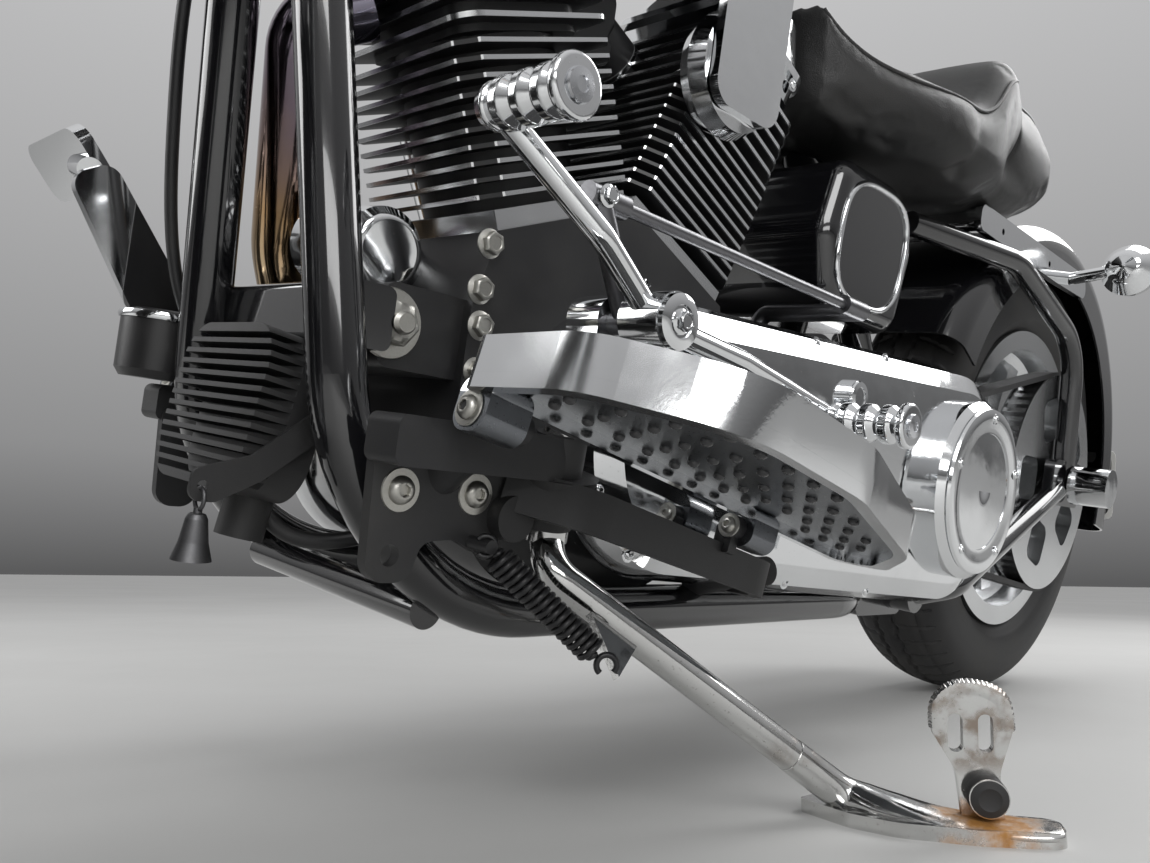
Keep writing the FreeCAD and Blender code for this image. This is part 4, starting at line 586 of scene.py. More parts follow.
def smooth_path(corners, count=60):
    """Points on a cubic B-spline whose control points are the corners, its ends held."""
    ends = np.asarray(corners, float)
    ends = np.concatenate([ends[:1], ends[:1], ends, ends[-1:], ends[-1:]])
    place = np.linspace(0, len(ends) - 3 - 1e-9, count)
    start = place.astype(int)
    t = (place - start)[:, None]
    weights = [(1 - t) ** 3, 3 * t ** 3 - 6 * t ** 2 + 4, -3 * t ** 3 + 3 * t ** 2 + 3 * t + 1, t ** 3]
    return sum(weight / 6 * ends[start + k] for k, weight in enumerate(weights))


def piece(name, shapes, finish, body, place=UPRIGHT, crease=35.0):
    """One object from (points, faces) shapes in millimetres: merged, outward, smooth up to a crease angle."""
    starts = np.cumsum([0] + [len(points) for points, faces in shapes])
    points = in_place(np.concatenate([points for points, faces in shapes]), place)
    faces = np.concatenate([faces + start for (_, faces), start in zip(shapes, starts)])
    mesh = bpy.data.meshes.new(name)
    mesh.from_pydata(points.tolist(), [], faces.tolist())
    work = bmesh.new()
    work.from_mesh(mesh)
    bmesh.ops.remove_doubles(work, verts=work.verts, dist=2e-6)
    bmesh.ops.dissolve_degenerate(work, edges=work.edges, dist=1e-7)
    bmesh.ops.recalc_face_normals(work, faces=work.faces)
    work.to_mesh(mesh)
    work.free()
    mesh.shade_smooth()
    mesh.set_sharp_from_angle(angle=math.radians(crease))
    mesh.materials.append(finish)
    made = linked(name, mesh)
    if body:
        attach(made, body)
    print(name, len(mesh.polygons), "faces")
    return made


# %% [markdown]
# Fasteners are the scale bar of a machine: their flats, sockets and washers catch tiny highlights. A button
# head is a dome with a hexagonal socket, a flanged bolt is a hexagon on a skirt, and a nut leaves its stud
# showing. Each is one turned profile whose rows blend from circle to hexagon, with the head's radius as its
# unit.

# %% Fasteners
LEFT, RIGHT, FORWARD, REARWARD, UP = (0, 1, 0), (0, -1, 0), (1, 0, 0), (-1, 0, 0), (0, 0, 1)
BUTTON = [(0, 0), (1.5, 0), (1.55, 0.06), (1.5, 0.16), (1.02, 0.18), (1.0, 0.3), (0.9, 0.52), (0.62, 0.7),
          (0.46, 0.72), (0.4, 0.7, 1), (0.4, 0.36, 1), (0, 0.3)]
FLANGED = [(0, 0), (1.45, 0), (1.45, 0.14), (1.1, 0.3), (0.98, 0.34, 1), (1.0, 0.4, 1), (1.0, 1.0, 1),
           (0.9, 1.12, 0.5), (0.72, 1.12), (0.66, 1.06), (0, 1.06)]
STUD_NUT = [(0, 0), (1.75, 0), (1.78, 0.08), (1.72, 0.22), (1.05, 0.22), (1.0, 0.28, 1), (1.0, 0.95, 1),
            (0.88, 1.08, 0.4), (0.62, 1.1), (0.56, 1.12), (0.56, 1.3), (0.5, 1.34), (0.56, 1.38), (0.5, 1.44),
            (0.54, 1.5), (0.46, 1.58), (0, 1.58)]


def fastener(rows, at, axis, radius, steps, spin=0.0):
    """Profile times the radius, standing on a face."""
    return turned_on([(row[0] * radius, row[1] * radius, *row[2:]) for row in rows], at, axis, steps, spin)


def button(at, axis, radius):
    """Button head with a hexagonal socket, on a washer."""
    return fastener(BUTTON, at, axis, radius, 32)


def flanged(at, axis, radius, spin=0.0):
    """Hexagon on a round flange, with a dished face."""
    return fastener(FLANGED, at, axis, radius, 36, spin)


def bolt_circle(count, radius, turn=0.0):
    """Cosine and sine times the radius, for evenly spread bolts that start at a turn in degrees."""
    angles = math.radians(turn) + 2 * math.pi * np.arange(count) / count
    return [(radius * math.cos(a), radius * math.sin(a)) for a in angles]


case_half, flange_half, plate_face = 69.5, 77.5, 152.6
case_bolts = [flanged((1046, flange_half, 405), LEFT, 7, 0.3), flanged((1049, flange_half, 373), LEFT, 7),
              flanged((1045, flange_half, 349), LEFT, 7, 0.9),
              fastener(STUD_NUT, (1110, case_half, 338), LEFT, 13, 36, 0.4),
              flanged((1044, flange_half, 318), LEFT, 6.5, 0.5)]
case_bolts += [flanged((1046, -flange_half, z), RIGHT, 7, z) for z in (405, 373, 349)]
piece("case_bolts", case_bolts, zinc_plate, "chassis")
plate_bolts = [button((x, side[1] * plate_face, z), side, 8) for side in (LEFT, RIGHT)
               for x, z in ((1141, 240), (1089, 241))]
piece("plate_bolts", plate_bolts, zinc_plate, "chassis")

# %% [markdown]
# The footboards are cast frames with a polished rim. From the floor their satin underside shows, with rows
# of the rubber pad's plugs pushed through it, and a bolt head at the front of each hinge. The pad is ribbed
# across. A height map over the half-moon gives the pad, and the plugs are one turned dome laid out in
# staggered rows.

# %% Footboards
BOARD_TILT = 12.0
BOARD_CORNER = (941.0, 196.0, 270.0)
BOARD_EDGE = [(-200, 28), (-185, 50), (-150, 76), (-108, 97), (-60, 116), (0, 135), (60, 148), (110, 153),
              (150, 150), (178, 136), (196, 110), (207, 60), (210, 20)]
PAD_REAR, PAD_FRONT, PAD_INNER, PAD_MARGIN = -188.0, 197.0, 11.0, 21.0
RIB_PITCH = 13.0
PLUG_PITCH = 27.0
PLUG_ROWS = ((22, -166), (46, -153), (70, -166), (94, -153), (118, -166))
PLUG = [(0, 0), (3.6, 0), (3.6, -1.6), (3.0, -2.6), (1.6, -3.3), (0, -3.5)]
DECK_UNDERSIDE, LUG_UNDERSIDE = -6.0, -14.6
LUG_BOLTS = ((182, 15.05, 6.6), (-70, 24.4, 5.6))


def board_place(side):
    """The footboard's own frame: X along it, Y out from its inner edge and Z up through it."""
    return frame_at(np.multiply(BOARD_CORNER, (1, side, 1)), about_y(-BOARD_TILT) @ np.diag([1.0, side, 1.0]))


def board_reach(along):
    """Distance of the outer edge from the inner one: straight runs between the cast rim's corner points."""
    return np.interp(along, *np.transpose(BOARD_EDGE))


def board_pad():
    """Height over the half-moon: 6 mm, ribs across as the 4th power of a cosine, and a rounded border."""
    along = np.linspace(PAD_REAR, PAD_FRONT, 240)[:, None]
    share = np.linspace(0, 1, 40)[None]
    wide = board_reach(along) - PAD_MARGIN
    inner, ends = np.minimum(share, 1 - share) * wide, np.minimum(along - PAD_REAR, PAD_FRONT - along)
    border = np.minimum(inner, ends)
    dome = 1 - (1 - np.clip(border / 5, 0, 1)) ** 2
    ribs = np.cos(along * 2 * math.pi / RIB_PITCH) ** 4
    height = -1 + dome * (6 + 2.4 * ribs * np.clip(border / 14, 0, 1))
    points = np.stack([along + 0 * share, PAD_INNER + share * wide, height], -1)
    return points.reshape(-1, 3), grid_faces(240, 40)


def board_finish(name, place):
    """Polished rim; satin where the height under the board is that of the deck plate or of a hinge lug."""
    f = Finish(name)
    x, y, z = local(f, place)
    lugs = 1 - z.step(LUG_UNDERSIDE, LUG_UNDERSIDE + BLEND)
    plate = (1 - abs(z - DECK_UNDERSIDE).step(0.01, 0.02)).most(lugs)
    grain = f.noise(520.0, 3.0)
    clouds = f.noise(9.0, 4.0, None, 0.6).step(0.42, 0.78)
    # The satin underside is a real finish, but its dark grey is painted shade: it stands in for the shade
    # under the board.
    satin_painted_shade = f.mixed(clouds * 0.5, (0.2, 0.21, 0.225), (0.13, 0.135, 0.145))
    dull = plate * (grain * 0.1 + 0.24) + (1 - plate) * (clouds * 0.16 + 0.06)
    return f.surface(Base_Color=f.mixed(plate, (0.76, 0.77, 0.78), satin_painted_shade), Roughness=dull, Metallic=1.0,
                     Normal=f.bump(grain, 0.00003, 0.4))


pad_rubber = rubber("pad_rubber", (0.02, 0.02, 0.021), 0.5, 0.5)
plug_rubber = rubber("plug_rubber", (0.05, 0.05, 0.052), 0.22, 0.3)
plug_places = []
for across, start in PLUG_ROWS:
    for along in np.arange(start, 200, PLUG_PITCH):
        beside_lugs = across > 40 or min(abs(along - lug) for lug, _, _ in LUG_BOLTS) > 22
        if beside_lugs and board_reach(along) > across + 18:
            plug_places.append((along, across, DECK_UNDERSIDE + 0.2))
for side, name in ((1, "left"), (-1, "right")):
    body, place = "board_" + name, board_place(side)
    dress("floorboard_" + name, board_finish("board_metal_" + name, place))
    points, faces = turned(PLUG, 12)
    piece("board_plugs_" + name, [(points + at, faces) for at in plug_places], plug_rubber, body, place)
    piece("board_pad_" + name, [board_pad()], pad_rubber, body, place, 60)
    heads = [button((lug + ahead_of_lug, 4, -23), FORWARD, radius) for lug, ahead_of_lug, radius in LUG_BOLTS]
    piece("hinge_bolts_" + name, heads, zinc_plate, "chassis", place)

# %% [markdown]
# The stand's return spring is a close-wound coil of thick wire with a hook at each end. It stretches as the
# stand swings out, one end at the bracket and the other on the leg, but here it is one piece built in place
# and attached to no body. The wire's path is a helix whose radius falls to nothing where each hook leaves the
# coil.

# %% Stand spring
HOOK_RADIUS = 6.0
spring_top, spring_end = np.array([1087.0, 166.0, 213.0]), np.array([1025.0, 216.0, 153.0])
spring_way = unit(spring_end - spring_top)
spring_side = unit(np.cross(spring_way, UP))
spring_over = np.cross(spring_side, spring_way)


def coil_wire(turns=19, radius=7.4, wire=1.9):
    """Helix: centre along the axis plus radius times cosine and sine, with straight ends into the hooks."""
    t = np.linspace(0, 1, turns * 14 + 1)[:, None]
    ease = np.clip(np.minimum(t, 1 - t) / 0.04, 0, 1)
    angle = 2 * math.pi * turns * t
    along = 8 + t * (np.linalg.norm(spring_end - spring_top) - 18)
    swing = radius * ease * (2 - ease) * (np.cos(angle) * spring_side + np.sin(angle) * spring_over)
    shape = [swept(spring_top + along * spring_way + swing, wire, 8, spring_way)]
    bend = np.linspace(0, 1.5 * math.pi, 18)[:, None]
    for at, way in ((spring_top, 1), (spring_end, -1)):
        middle = at + way * spring_way * 0.5
        hook = HOOK_RADIUS * (np.sin(bend) * spring_over - way * np.cos(bend) * spring_way)
        shape.append(swept(middle + hook, wire, 8, spring_side))
    return shape


spring_black = powder("spring_black", (0.012, 0.012, 0.013), 0.34, 0.00005, 0.5)
spring = piece("stand_spring_coil", coil_wire(), spring_black, None, crease=80)
tuple(in_place(spring_top))
tuple(in_place(spring_end))
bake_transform(spring)
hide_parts("stand_spring")

# %% [markdown]
# Tyres have a round crown with grooves cut into it, a rounded shoulder and a side wall with a few raised
# rings. The surface is turned about the axle: one parameter runs round the wheel, the other from bead to
# bead. Its radius comes from the section, less a groove depth wherever the tread pattern says so.

# %% Tyres
GROOVE = 4.5
BEAD_RADIUS = 205.0
ACROSS_POINTS = 104


def tyre_section(radius, width):
    """Outline from bead to bead as (across, radius): side wall bulge, shoulder, near half-circle crown."""
    half = width / 2
    wall = [(0.70 * half, 218), (0.78 * half, 222), (0.90 * half, 232), (half, 244), (half, radius - 44)]
    crown = [(0.93, 26), (0.66, 8.5), (0.3, 1.2), (0, 0)]
    side = smooth_path(wall + [(share * half, radius - drop) for share, drop in crown], 60)
    return np.concatenate([side, side[-2::-1] * (-1, 1)])


def bar(value, middle, half):
    """1 within a half width of the middle and 0 beyond, with soft sides: e to the minus 4th power."""
    return np.exp(-((value - middle) / half) ** 4)


def tread_depth(angle, across, repeats, half):
    """Groove depth from 0 to 1: a centre rib's zigzag, slanted cuts each side, a ring near the shoulder."""
    phase = angle * repeats
    side = np.abs(across) / half
    zigzag = bar(np.abs(across), 11 + 2.5 * np.abs((phase / math.pi) % 2 - 1), 1.9)
    slant = (phase + np.sign(across) * 0.4 + side * 3.4) % (2 * math.pi)
    between = np.clip((side - 0.26) / 0.05, 0, 1) * np.clip((0.86 - side) / 0.05, 0, 1)
    cuts = bar(slant, math.pi, 0.42) * between
    return np.maximum(np.maximum(zigzag, cuts), bar(side, 0.56, 0.028))


def tyre_shape(radius, width, repeats=64):
    """Rings round the axle, along Y: the tread's height falls in the grooves of the crown."""
    section = tyre_section(radius, width)
    at = np.linspace(0, len(section) - 1, ACROSS_POINTS)
    across, high = [np.interp(at, np.arange(len(section)), column) for column in section.T]
    angle = np.linspace(0, 2 * math.pi, repeats * 11, endpoint=False)[:, None]
    crown = np.clip((high - (radius - 40)) / 8, 0, 1)
    depth = GROOVE * tread_depth(angle, across[None], repeats, width / 2) * crown
    rings = 0.7 * bar(high, 236, 2.2) + 0.6 * bar(high, 268, 1.6)
    out, wide = high - depth, across + np.sign(across) * rings
    bead = np.broadcast_to(BEAD_RADIUS, (len(angle), 1))
    out = np.hstack([bead, out, bead])
    wide = np.broadcast_to(np.hstack([width * 0.33, wide, width * -0.33]), out.shape)
    points = np.stack([out * np.cos(angle), wide, out * np.sin(angle)], -1)
    return points.reshape(-1, 3), grid_faces(*out.shape, True, True)


def tyre_finish(name):
    """Tread rubber: clouds of dust dull it and turn it grey."""
    f = Finish(name)
    clouds = f.noise(14.0, 5.0).step(0.35, 0.8)
    grain = f.noise(900.0, 3.0)
    tone = f.mixed(clouds * 0.5, (0.011, 0.011, 0.012), (0.06, 0.057, 0.052))
    dull = clouds * 0.14 + grain * 0.1 + 0.5
    return f.surface(Base_Color=tone, Roughness=dull, Normal=f.bump(grain, 0.00008, 0.6))


tyre_black = tyre_finish("tyre_black")
rear_place, front_place = frame_at(REAR_AXLE), frame_at(FRONT_AXLE, place=FORK)
wheels = (("rear", REAR_RADIUS, 140, rear_place), ("front", FRONT_RADIUS, 132, front_place))
for name, radius, width, place in wheels:
    tread = piece(name + "_tyre_tread", [tyre_shape(radius, width)], tyre_black, name + "_wheel", place)
    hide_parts(name + "_tyre")

# %% [markdown]
# The stand's foot has stood in the wet: rust creeps from the joint between the kick tab and the foot, orange
# at its edge and brown at its heart, and dust has stuck to it. The mask is the distance from that joint,
# broken up by noise.

# %% Rust on the stand


def floor_frame(at=(0.0, 0.0, 0.0), degrees=0.0, tilt=0.0):
    """Frame on the floor, from under the rear axle in millimetres: X along the tab, Z up it, tilted on X."""
    a, b = math.radians(degrees), math.radians(tilt)
    along = np.array([math.cos(a), math.sin(a), 0])
    up = np.array([math.sin(a) * math.sin(b), -math.cos(a) * math.sin(b), math.cos(b)])
    return np.column_stack([along, np.cross(up, along), up, np.append(UPRIGHT[:2, 3], 0) + at])


tab_place = floor_frame((814, 368, 0), 125, 8)


def stand_finish():
    """Worn chrome: rust where the distance from the tab's foot is small, broken by noise."""
    f = Finish("stand_chrome")
    x, y, z = local(f, tab_place)
    away = ((x * 0.75) ** 2.0 + (y + 4.0) ** 2.0 * 0.6 + (z * 1.15) ** 2.0) ** 0.5
    ragged = f.noise(60.0, 6.0, None, 0.65)
    rust = 1 - (away + ragged * 46.0).step(36.0, 58.0)
    heart = 1 - (away + ragged * 30.0).step(18.0, 34.0)
    clouds = f.noise(9.0, 4.0, None, 0.6).step(0.42, 0.78)
    grit = f.noise(420.0, 2.0).step(0.62, 0.8)
    upper = z.step(34.0, 52.0) * (1 - away.step(100.0, 120.0))
    stain = f.noise(46.0, 5.0).step(0.44, 0.62) * upper
    metal = f.mixed(grit * 0.5 + clouds * 0.2, (0.66, 0.66, 0.65), (0.25, 0.23, 0.2))
    metal = f.mixed(stain * 0.75, metal, (0.2, 0.13, 0.08))
    orange = f.mixed(f.noise(300.0, 3.0), (0.52, 0.23, 0.012), (0.27, 0.1, 0.01))
    brown = f.mixed(heart * 0.8, orange, (0.12, 0.05, 0.015))
    dull = rust * 0.5 + stain * 0.3 * (1 - rust) + clouds * 0.16 + grit * 0.2 + 0.1
    normal = f.bump(f.noise(380.0, 3.0) * (rust + 0.15), 0.00035, 0.7)
    return f.surface(Base_Color=f.mixed(rust * 0.95, metal, brown), Roughness=dull, Metallic=1 - rust * 0.9,
                     Normal=normal)


stand_chrome = stand_finish()
dress("side_stand", stand_chrome)

# %% [markdown]
# The tab's top edge is knurled for the boot, a rubber bumper sits on its face, and the round leg is forged
# flat where it turns into the foot. The knurl is a strip bent over the edge, and the forging a tube whose
# section changes along a smooth line.

# %% Kick tab, bumper and forged foot
TAB_EDGE = [(-31, 66), (-32, 84), (-20, 95), (-8, 96.5), (6, 94), (17, 86), (18, 66)]
KNURL_SECTION = [(-3.3, -9.0), (-4.4, -4.5), (-3.6, -0.6), (0, 1.2), (3.6, -0.6), (4.4, -4.5), (3.3, -9.0)]
BUMPER = [(0, -2), (10.5, -2), (12.2, -1), (12.2, 10.6), (11.2, 12.4), (7, 13.4), (5, 12.6), (0, 12.6)]
FOOT_LINE = [(880, 269.9, 43), (865, 276, 32), (851, 281.7, 21.6), (842, 288, 14.5), (838, 300, 11.8),
             (836, 318, 9.6), (829, 345, 7), (818, 370, 6), (806, 392, 5.6), (797, 407, 6.6)]
FOOT_WIDTHS = [(0, 11.2), (0.18, 11.3), (0.36, 13), (0.45, 16), (0.55, 19), (0.64, 22), (0.73, 23.5),
               (0.86, 21), (0.95, 16), (1, 10)]
FOOT_HEIGHTS = [(0, 11.2), (0.36, 11.8), (0.45, 11.6), (0.55, 10), (0.64, 6.8), (0.73, 5), (1, 4.2)]


def knurl(count=181, ribs=36):
    """Ribs along the tab's rounded top: a strip over the edge whose height is a rectified sine."""
    t = np.linspace(0, 1, count)[:, None]
    edge = smooth_path(TAB_EDGE, count)
    way = unit(np.gradient(edge, axis=0))
    across, lift = np.transpose(KNURL_SECTION)[:, None]
    ridge = np.abs(np.sin(t * ribs * math.pi)) * 0.45 * np.clip(np.minimum(t, 1 - t) / 0.1, 0, 1)
    lift = lift + ridge * (lift > -3)
    points = np.stack([edge[:, :1] - way[:, 1:] * lift, 0 * t + across, edge[:, 1:] + way[:, :1] * lift], -1)
    return points.reshape(-1, 3), grid_faces(count, len(KNURL_SECTION), wrap_columns=True)


def forged_foot(count=72, sides=40):
    """The leg flattens into its foot: an ellipse whose width grows and whose height falls along the bend."""
    line = smooth_path(FOOT_LINE, count)
    share = np.linspace(0, 1, count)
    broad = np.interp(share, *np.transpose(FOOT_WIDTHS))[:, None, None]
    high = np.interp(share, *np.transpose(FOOT_HEIGHTS))[:, None, None]
    way = unit(np.gradient(line, axis=0))
    side = unit(np.cross(way, UP))
    over = np.cross(side, way)
    c, s = [value[:, None] for value in around(sides)]
    flat = np.abs(s) ** 0.8 * np.sign(s)
    rings = line[:, None] + broad * c * side[:, None] + high * flat * over[:, None]
    rings[..., 2] = np.maximum(rings[..., 2], 0.4)
    rings = capped(rings, line)
    return rings.reshape(-1, 3), grid_faces(len(rings), sides, wrap_columns=True)


piece("tab_knurl", [knurl()], stand_chrome, "side_stand", tab_place, 50)
piece("stand_forged_foot", [forged_foot()], stand_chrome, "side_stand", floor_frame(), 50)
piece("tab_bumper", [turned_on(BUMPER, (0, -2, 27), RIGHT, 30)], black_rubber, "side_stand", tab_place)

# %% [markdown]
# Lamps and glass. The headlamp's glass is a shallow dome over a bowl, the four signals have amber domes,
# the tail lamp is red, and the mirrors are flat glass in a chrome shell. The domes are turned profiles.

# %% Lenses and mirrors
amber = lens("amber_lens", (0.9, 0.32, 0.02), 150.0, (0.0, 0.0, 1.0))
red = lens("red_lens", (0.6, 0.01, 0.01), 170.0, (0.0, 1.0, 0.0))
clear = lens("clear_lens", (0.93, 0.95, 0.96), 90.0, (0.0, 1.0, 0.0))
mirror_glass = plated("mirror_glass", (0.82, 0.85, 0.87), 0.015, 0.05, 0.00002, 0.1)
NECK_LENGTH = 188.0
MIRROR = [(0, 0), (55, 0), (56, 0.8), (55, 1.6), (0, 1.6)]
neck_high = from_row(joints["steering"]["pos_m"], FORK)[2] + NECK_LENGTH
lamp_ahead = about_y(RAKE)[:, 0]
lamp_at = np.array([212.0, 0.0, neck_high - 80])
grip_end, grip_way = np.array([-185.0, 430.0, 962.0]), unit([75.0, -150.0, 23.0])
lever_root = grip_end + grip_way * 146 + (40, 8, -6)
mirror_at = lever_root + (-52, 40, 196)


def dome(radius, depth, rim=3.0, rows=12):
    """Cap of a sphere in profile: radius times sine, depth times cosine, with a short rim behind."""
    t = np.linspace(math.pi / 2, 0, rows)
    cap = [(radius * math.sin(a), depth * math.cos(a)) for a in t]
    return [(0, -rim), (radius * 0.8, -rim), (radius, -rim)] + cap


headlamp_glass = turned_on(dome(86, 15), lamp_at + lamp_ahead * 2, lamp_ahead, 64)
piece("headlamp_glass", [headlamp_glass], clear, "fork", FORK)
for side, name in ((1, "left"), (-1, "right")):
    front_lens = turned_on(dome(31, 13), (118, side * 206, 650) + lamp_ahead, lamp_ahead, 40)
    piece("front_signal_lens_" + name, [front_lens], amber, "fork", FORK)
    rear_lens = turned_on(dome(31, 13), (-26, side * 172, 634), REARWARD, 40)
    piece("rear_signal_lens_" + name, [rear_lens], amber, "chassis")
    glass = turned_on(MIRROR, mirror_at * (1, side, 1), (-1, 0, -0.55), 56)
    piece("mirror_glass_" + name, [glass], mirror_glass, "fork", FORK)

# %% [markdown]
# The seat is foam under a sewn cover. Its solid is copied, closed and cut into even faces, and then blown
# up a little as cloth with air in it, which rounds the edges the way foam does. Each point may move 9 mm at
# most. The sewn channels come after that, as grooves across the top, and a welt follows each upper edge.

# %% Seat cushion
VOXEL = 0.006
PRESSURE = 4.0
CLOTH_FRAMES = 20
MOST_MOVE = 0.009
CHANNELS = np.array([372, 338, 304, 270, 236, 202, 168, 545, 580, 615])
CHANNEL_DEPTH, CHANNEL_WIDTH = 3.4, 4.5
SEAT_TOP = [(110, 738), (330, 768), (400, 752), (440, 702), (500, 676), (676, 700)]
WELT_RADIUS = 2.6
WELT_LINE = [(668, 76, 742), (636, 104, 706), (596, 134, 686), (500, 158, 682), (440, 156, 710),
             (400, 143, 758), (330, 115, 774), (240, 111, 776), (180, 103, 770), (122, 84, 752)]


def evaluated(holder):
    """Mesh of an object with its modifiers applied, and its points as rows."""
    mesh = bpy.data.meshes.new_from_object(holder.evaluated_get(bpy.context.evaluated_depsgraph_get()))
    points = np.empty(len(mesh.vertices) * 3)
    mesh.vertices.foreach_get("co", points)
    return mesh, points.reshape(-1, 3)


def swollen(mesh):
    """Cloth with pressure and no gravity, stepped from frame 1, each point's move capped."""
    holder = linked("seat_work", mesh)
    work = bmesh.new()
    work.from_mesh(mesh)
    bmesh.ops.remove_doubles(work, verts=work.verts, dist=1e-5)
    work.to_mesh(mesh)
    work.free()
    remesh = holder.modifiers.new("even", "REMESH")
    remesh.mode = "VOXEL"
    remesh.voxel_size = VOXEL
    even, rest = evaluated(holder)
    holder.modifiers.clear()
    holder.data = even
    final = rest
    cloth = holder.modifiers.new("foam", "CLOTH")
    cloth.settings.use_pressure = True
    cloth.settings.uniform_pressure_force = PRESSURE
    cloth.settings.effector_weights.gravity = 0.0
    for frame_number in range(1, CLOTH_FRAMES + 1):
        bpy.context.scene.frame_set(frame_number)
    final = evaluated(holder)[1]
    bpy.context.scene.frame_set(1)
    move = final - rest
    far = np.linalg.norm(move, axis=1, keepdims=True)
    bpy.data.objects.remove(holder)
    return even, rest + move * np.minimum(1, MOST_MOVE / np.maximum(far, 1e-9))


def channels(points):
    """Sewn grooves across the top: a bell curve of the distance to each, only where the cover faces up."""
    p = from_row(points)
    groove = np.exp(-((p[:, :1] - CHANNELS) / CHANNEL_WIDTH) ** 2).max(axis=1)
    inside = np.clip((118 - np.abs(p[:, 1])) / 16, 0, 1)
    top = np.clip((p[:, 2] - np.interp(p[:, 0], *np.transpose(SEAT_TOP))) / 6, 0, 1)
    p[:, 2] -= CHANNEL_DEPTH * groove * inside * top
    return in_place(p)


def leather():
    """Black grained vinyl: cells of a Voronoi texture as the grain, larger clouds as wear."""
    f = Finish("seat_leather")
    sockets = {"Vector": f.where(), "Scale": 520.0}
    grain = f.add("ShaderNodeTexVoronoi", {"feature": "DISTANCE_TO_EDGE"}, sockets)
    clouds = f.noise(9.0, 5.0).step(0.4, 0.8)
    fine = f.noise(240.0, 3.0)
    tone = f.mixed(clouds * 0.5, (0.012, 0.012, 0.012), (0.036, 0.034, 0.032))
    normal = f.bump(grain.step(0.0, 0.12) * 0.8 + fine * 0.3, 0.0003, 0.6)
    return f.surface(Base_Color=tone, Roughness=clouds * 0.12 + fine * 0.1 + 0.36, Normal=normal,
                     Specular_IOR_Level=0.4)


def welt(side):
    """Piping along the cover's upper edge: a smooth line, dropped on the cushion and evened out."""
    line = smooth_path(np.multiply(WELT_LINE, (1.0, side, 1.0)), 90)
    hits = [cushion.closest_point_on_mesh(Vector(p)) for p in in_place(line)]
    seated = from_row(np.array([tuple(hit[1]) for hit in hits]))
    seated[2:-2] = (seated[:-4] + seated[1:-3] + seated[2:-2] + seated[3:-1] + seated[4:]) / 5
    return swept(seated, WELT_RADIUS, 10)


seat_leather = leather()
even, final = swollen(frame["nodes"]["seat"].data.copy())
even.vertices.foreach_set("co", channels(final).ravel())
even.update()
even.materials.clear()
even.materials.append(seat_leather)
even.shade_smooth()
cushion = linked("seat_cushion", even)
smooth = cushion.modifiers.new("round", "SUBSURF")
smooth.levels = smooth.render_levels = 1
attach(cushion, "chassis")
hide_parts("seat")
bpy.context.view_layer.update()
piece("seat_welts", [welt(1), welt(-1)], seat_leather, "chassis")

# %% [markdown]
# Rubber covers the grips and the brake pedal's pad. Grips are ringed, with a flared inner collar: a turned
# profile whose radius follows a cosine. The pedal's pad is a low ribbed slab over its plate.

# %% Grips and pedal rubber
GRIP_LENGTH = 116.0
PEDAL_AT, PEDAL_TILT, PEDAL_LEAN = (1226, -226, 440), 50.0, math.radians(4)


def ringed_grip():
    """Radius 17.2 plus 1.1 times a squared cosine along the grip, closed at the bar's end."""
    along = np.linspace(0, GRIP_LENGTH, 160)
    radius = 17.2 + 1.1 * np.cos(along * math.pi / 7.0) ** 2 + 3 * np.exp(-((along - 114) / 4.0) ** 2)
    return [(0, -5), (15, -5), (17.5, -3.5), *zip(radius, along), (15, 118), (0, 118)]


def slab_pad(half_u, half_v, corner, ribs):
    """Cushion over a rounded rectangle: about 5 mm high, ribs as a squared cosine, 0 at its border."""
    u = np.linspace(-1, 1, 60)[:, None]
    v = np.linspace(-1, 1, 60)[None]
    past = np.maximum(0, (np.abs(u) * half_u - half_u + corner) / corner)
    y = v * (half_v - corner + corner * np.sqrt(np.maximum(0, 1 - past ** 2)))
    edge = 1 - np.maximum(np.abs(u), np.abs(v)) ** 8
    height = edge * (4.6 + 1.6 * np.cos(y / half_v * math.pi * ribs) ** 2)
    points = np.stack([u * half_u + 0 * y, y, height], -1)
    return points.reshape(-1, 3), grid_faces(60, 60)


grip_rows = ringed_grip()
grips = [turned_on(grip_rows, grip_end * (1, side, 1), grip_way * (1, side, 1), 30) for side in (1, -1)]
piece("grip_rubber", grips, black_rubber, "fork", FORK)
pad_turn = about_y(-PEDAL_TILT)
pad_x = pad_turn[:, 0]
pad_y = pad_turn @ (0, math.cos(PEDAL_LEAN), math.sin(PEDAL_LEAN))
pad_up = np.cross(pad_x, pad_y)
pad_place = frame_at(PEDAL_AT + pad_up * 5, np.column_stack([pad_x, pad_y, pad_up]))
piece("brake_pad_rubber", [slab_pad(21, 46, 12, 4)], pad_rubber, "chassis", pad_place, 60)

# %% [markdown]
# The brake's reservoir is a black cup while the rest of the pedal is plated, so its finish is two-tone by
# place. The voltage regulator's cable runs back from a moulded plug, and one more cable comes down the
# right tube in a black sleeve.

# %% Reservoir and cables
CUP_AT = (1166, -152, 284)
CUP_RIM = [(27, 43), (31.5, 43.5), (32.5, 46), (31.5, 49), (27, 49.5), (27, 43)]
TUBE_CABLE = [(1214, -44, 742), (1207, -52, 640), (1216, -72, 560), (1200, -98, 470), (1188, -112, 400),
              (1172, -118, 345), (1150, -112, 310)]
PLUG_CABLE = [(1150, 20, 208), (1140, 24, 196), (1118, 34, 190), (1080, 44, 200), (1040, 52, 214)]


def reservoir_mask(f):
    """0 on the cup ahead of the pedal's pivot, 1 on the plated arm and shaft."""
    x, y, z = local(f, UPRIGHT, (*CUP_AT[:2], 0))
    cup = 1 - ((x ** 2.0 + y ** 2.0) ** 0.5).step(30.5, 31.5)
    return 1 - cup * (1 - y.step(200.0, 201.0))


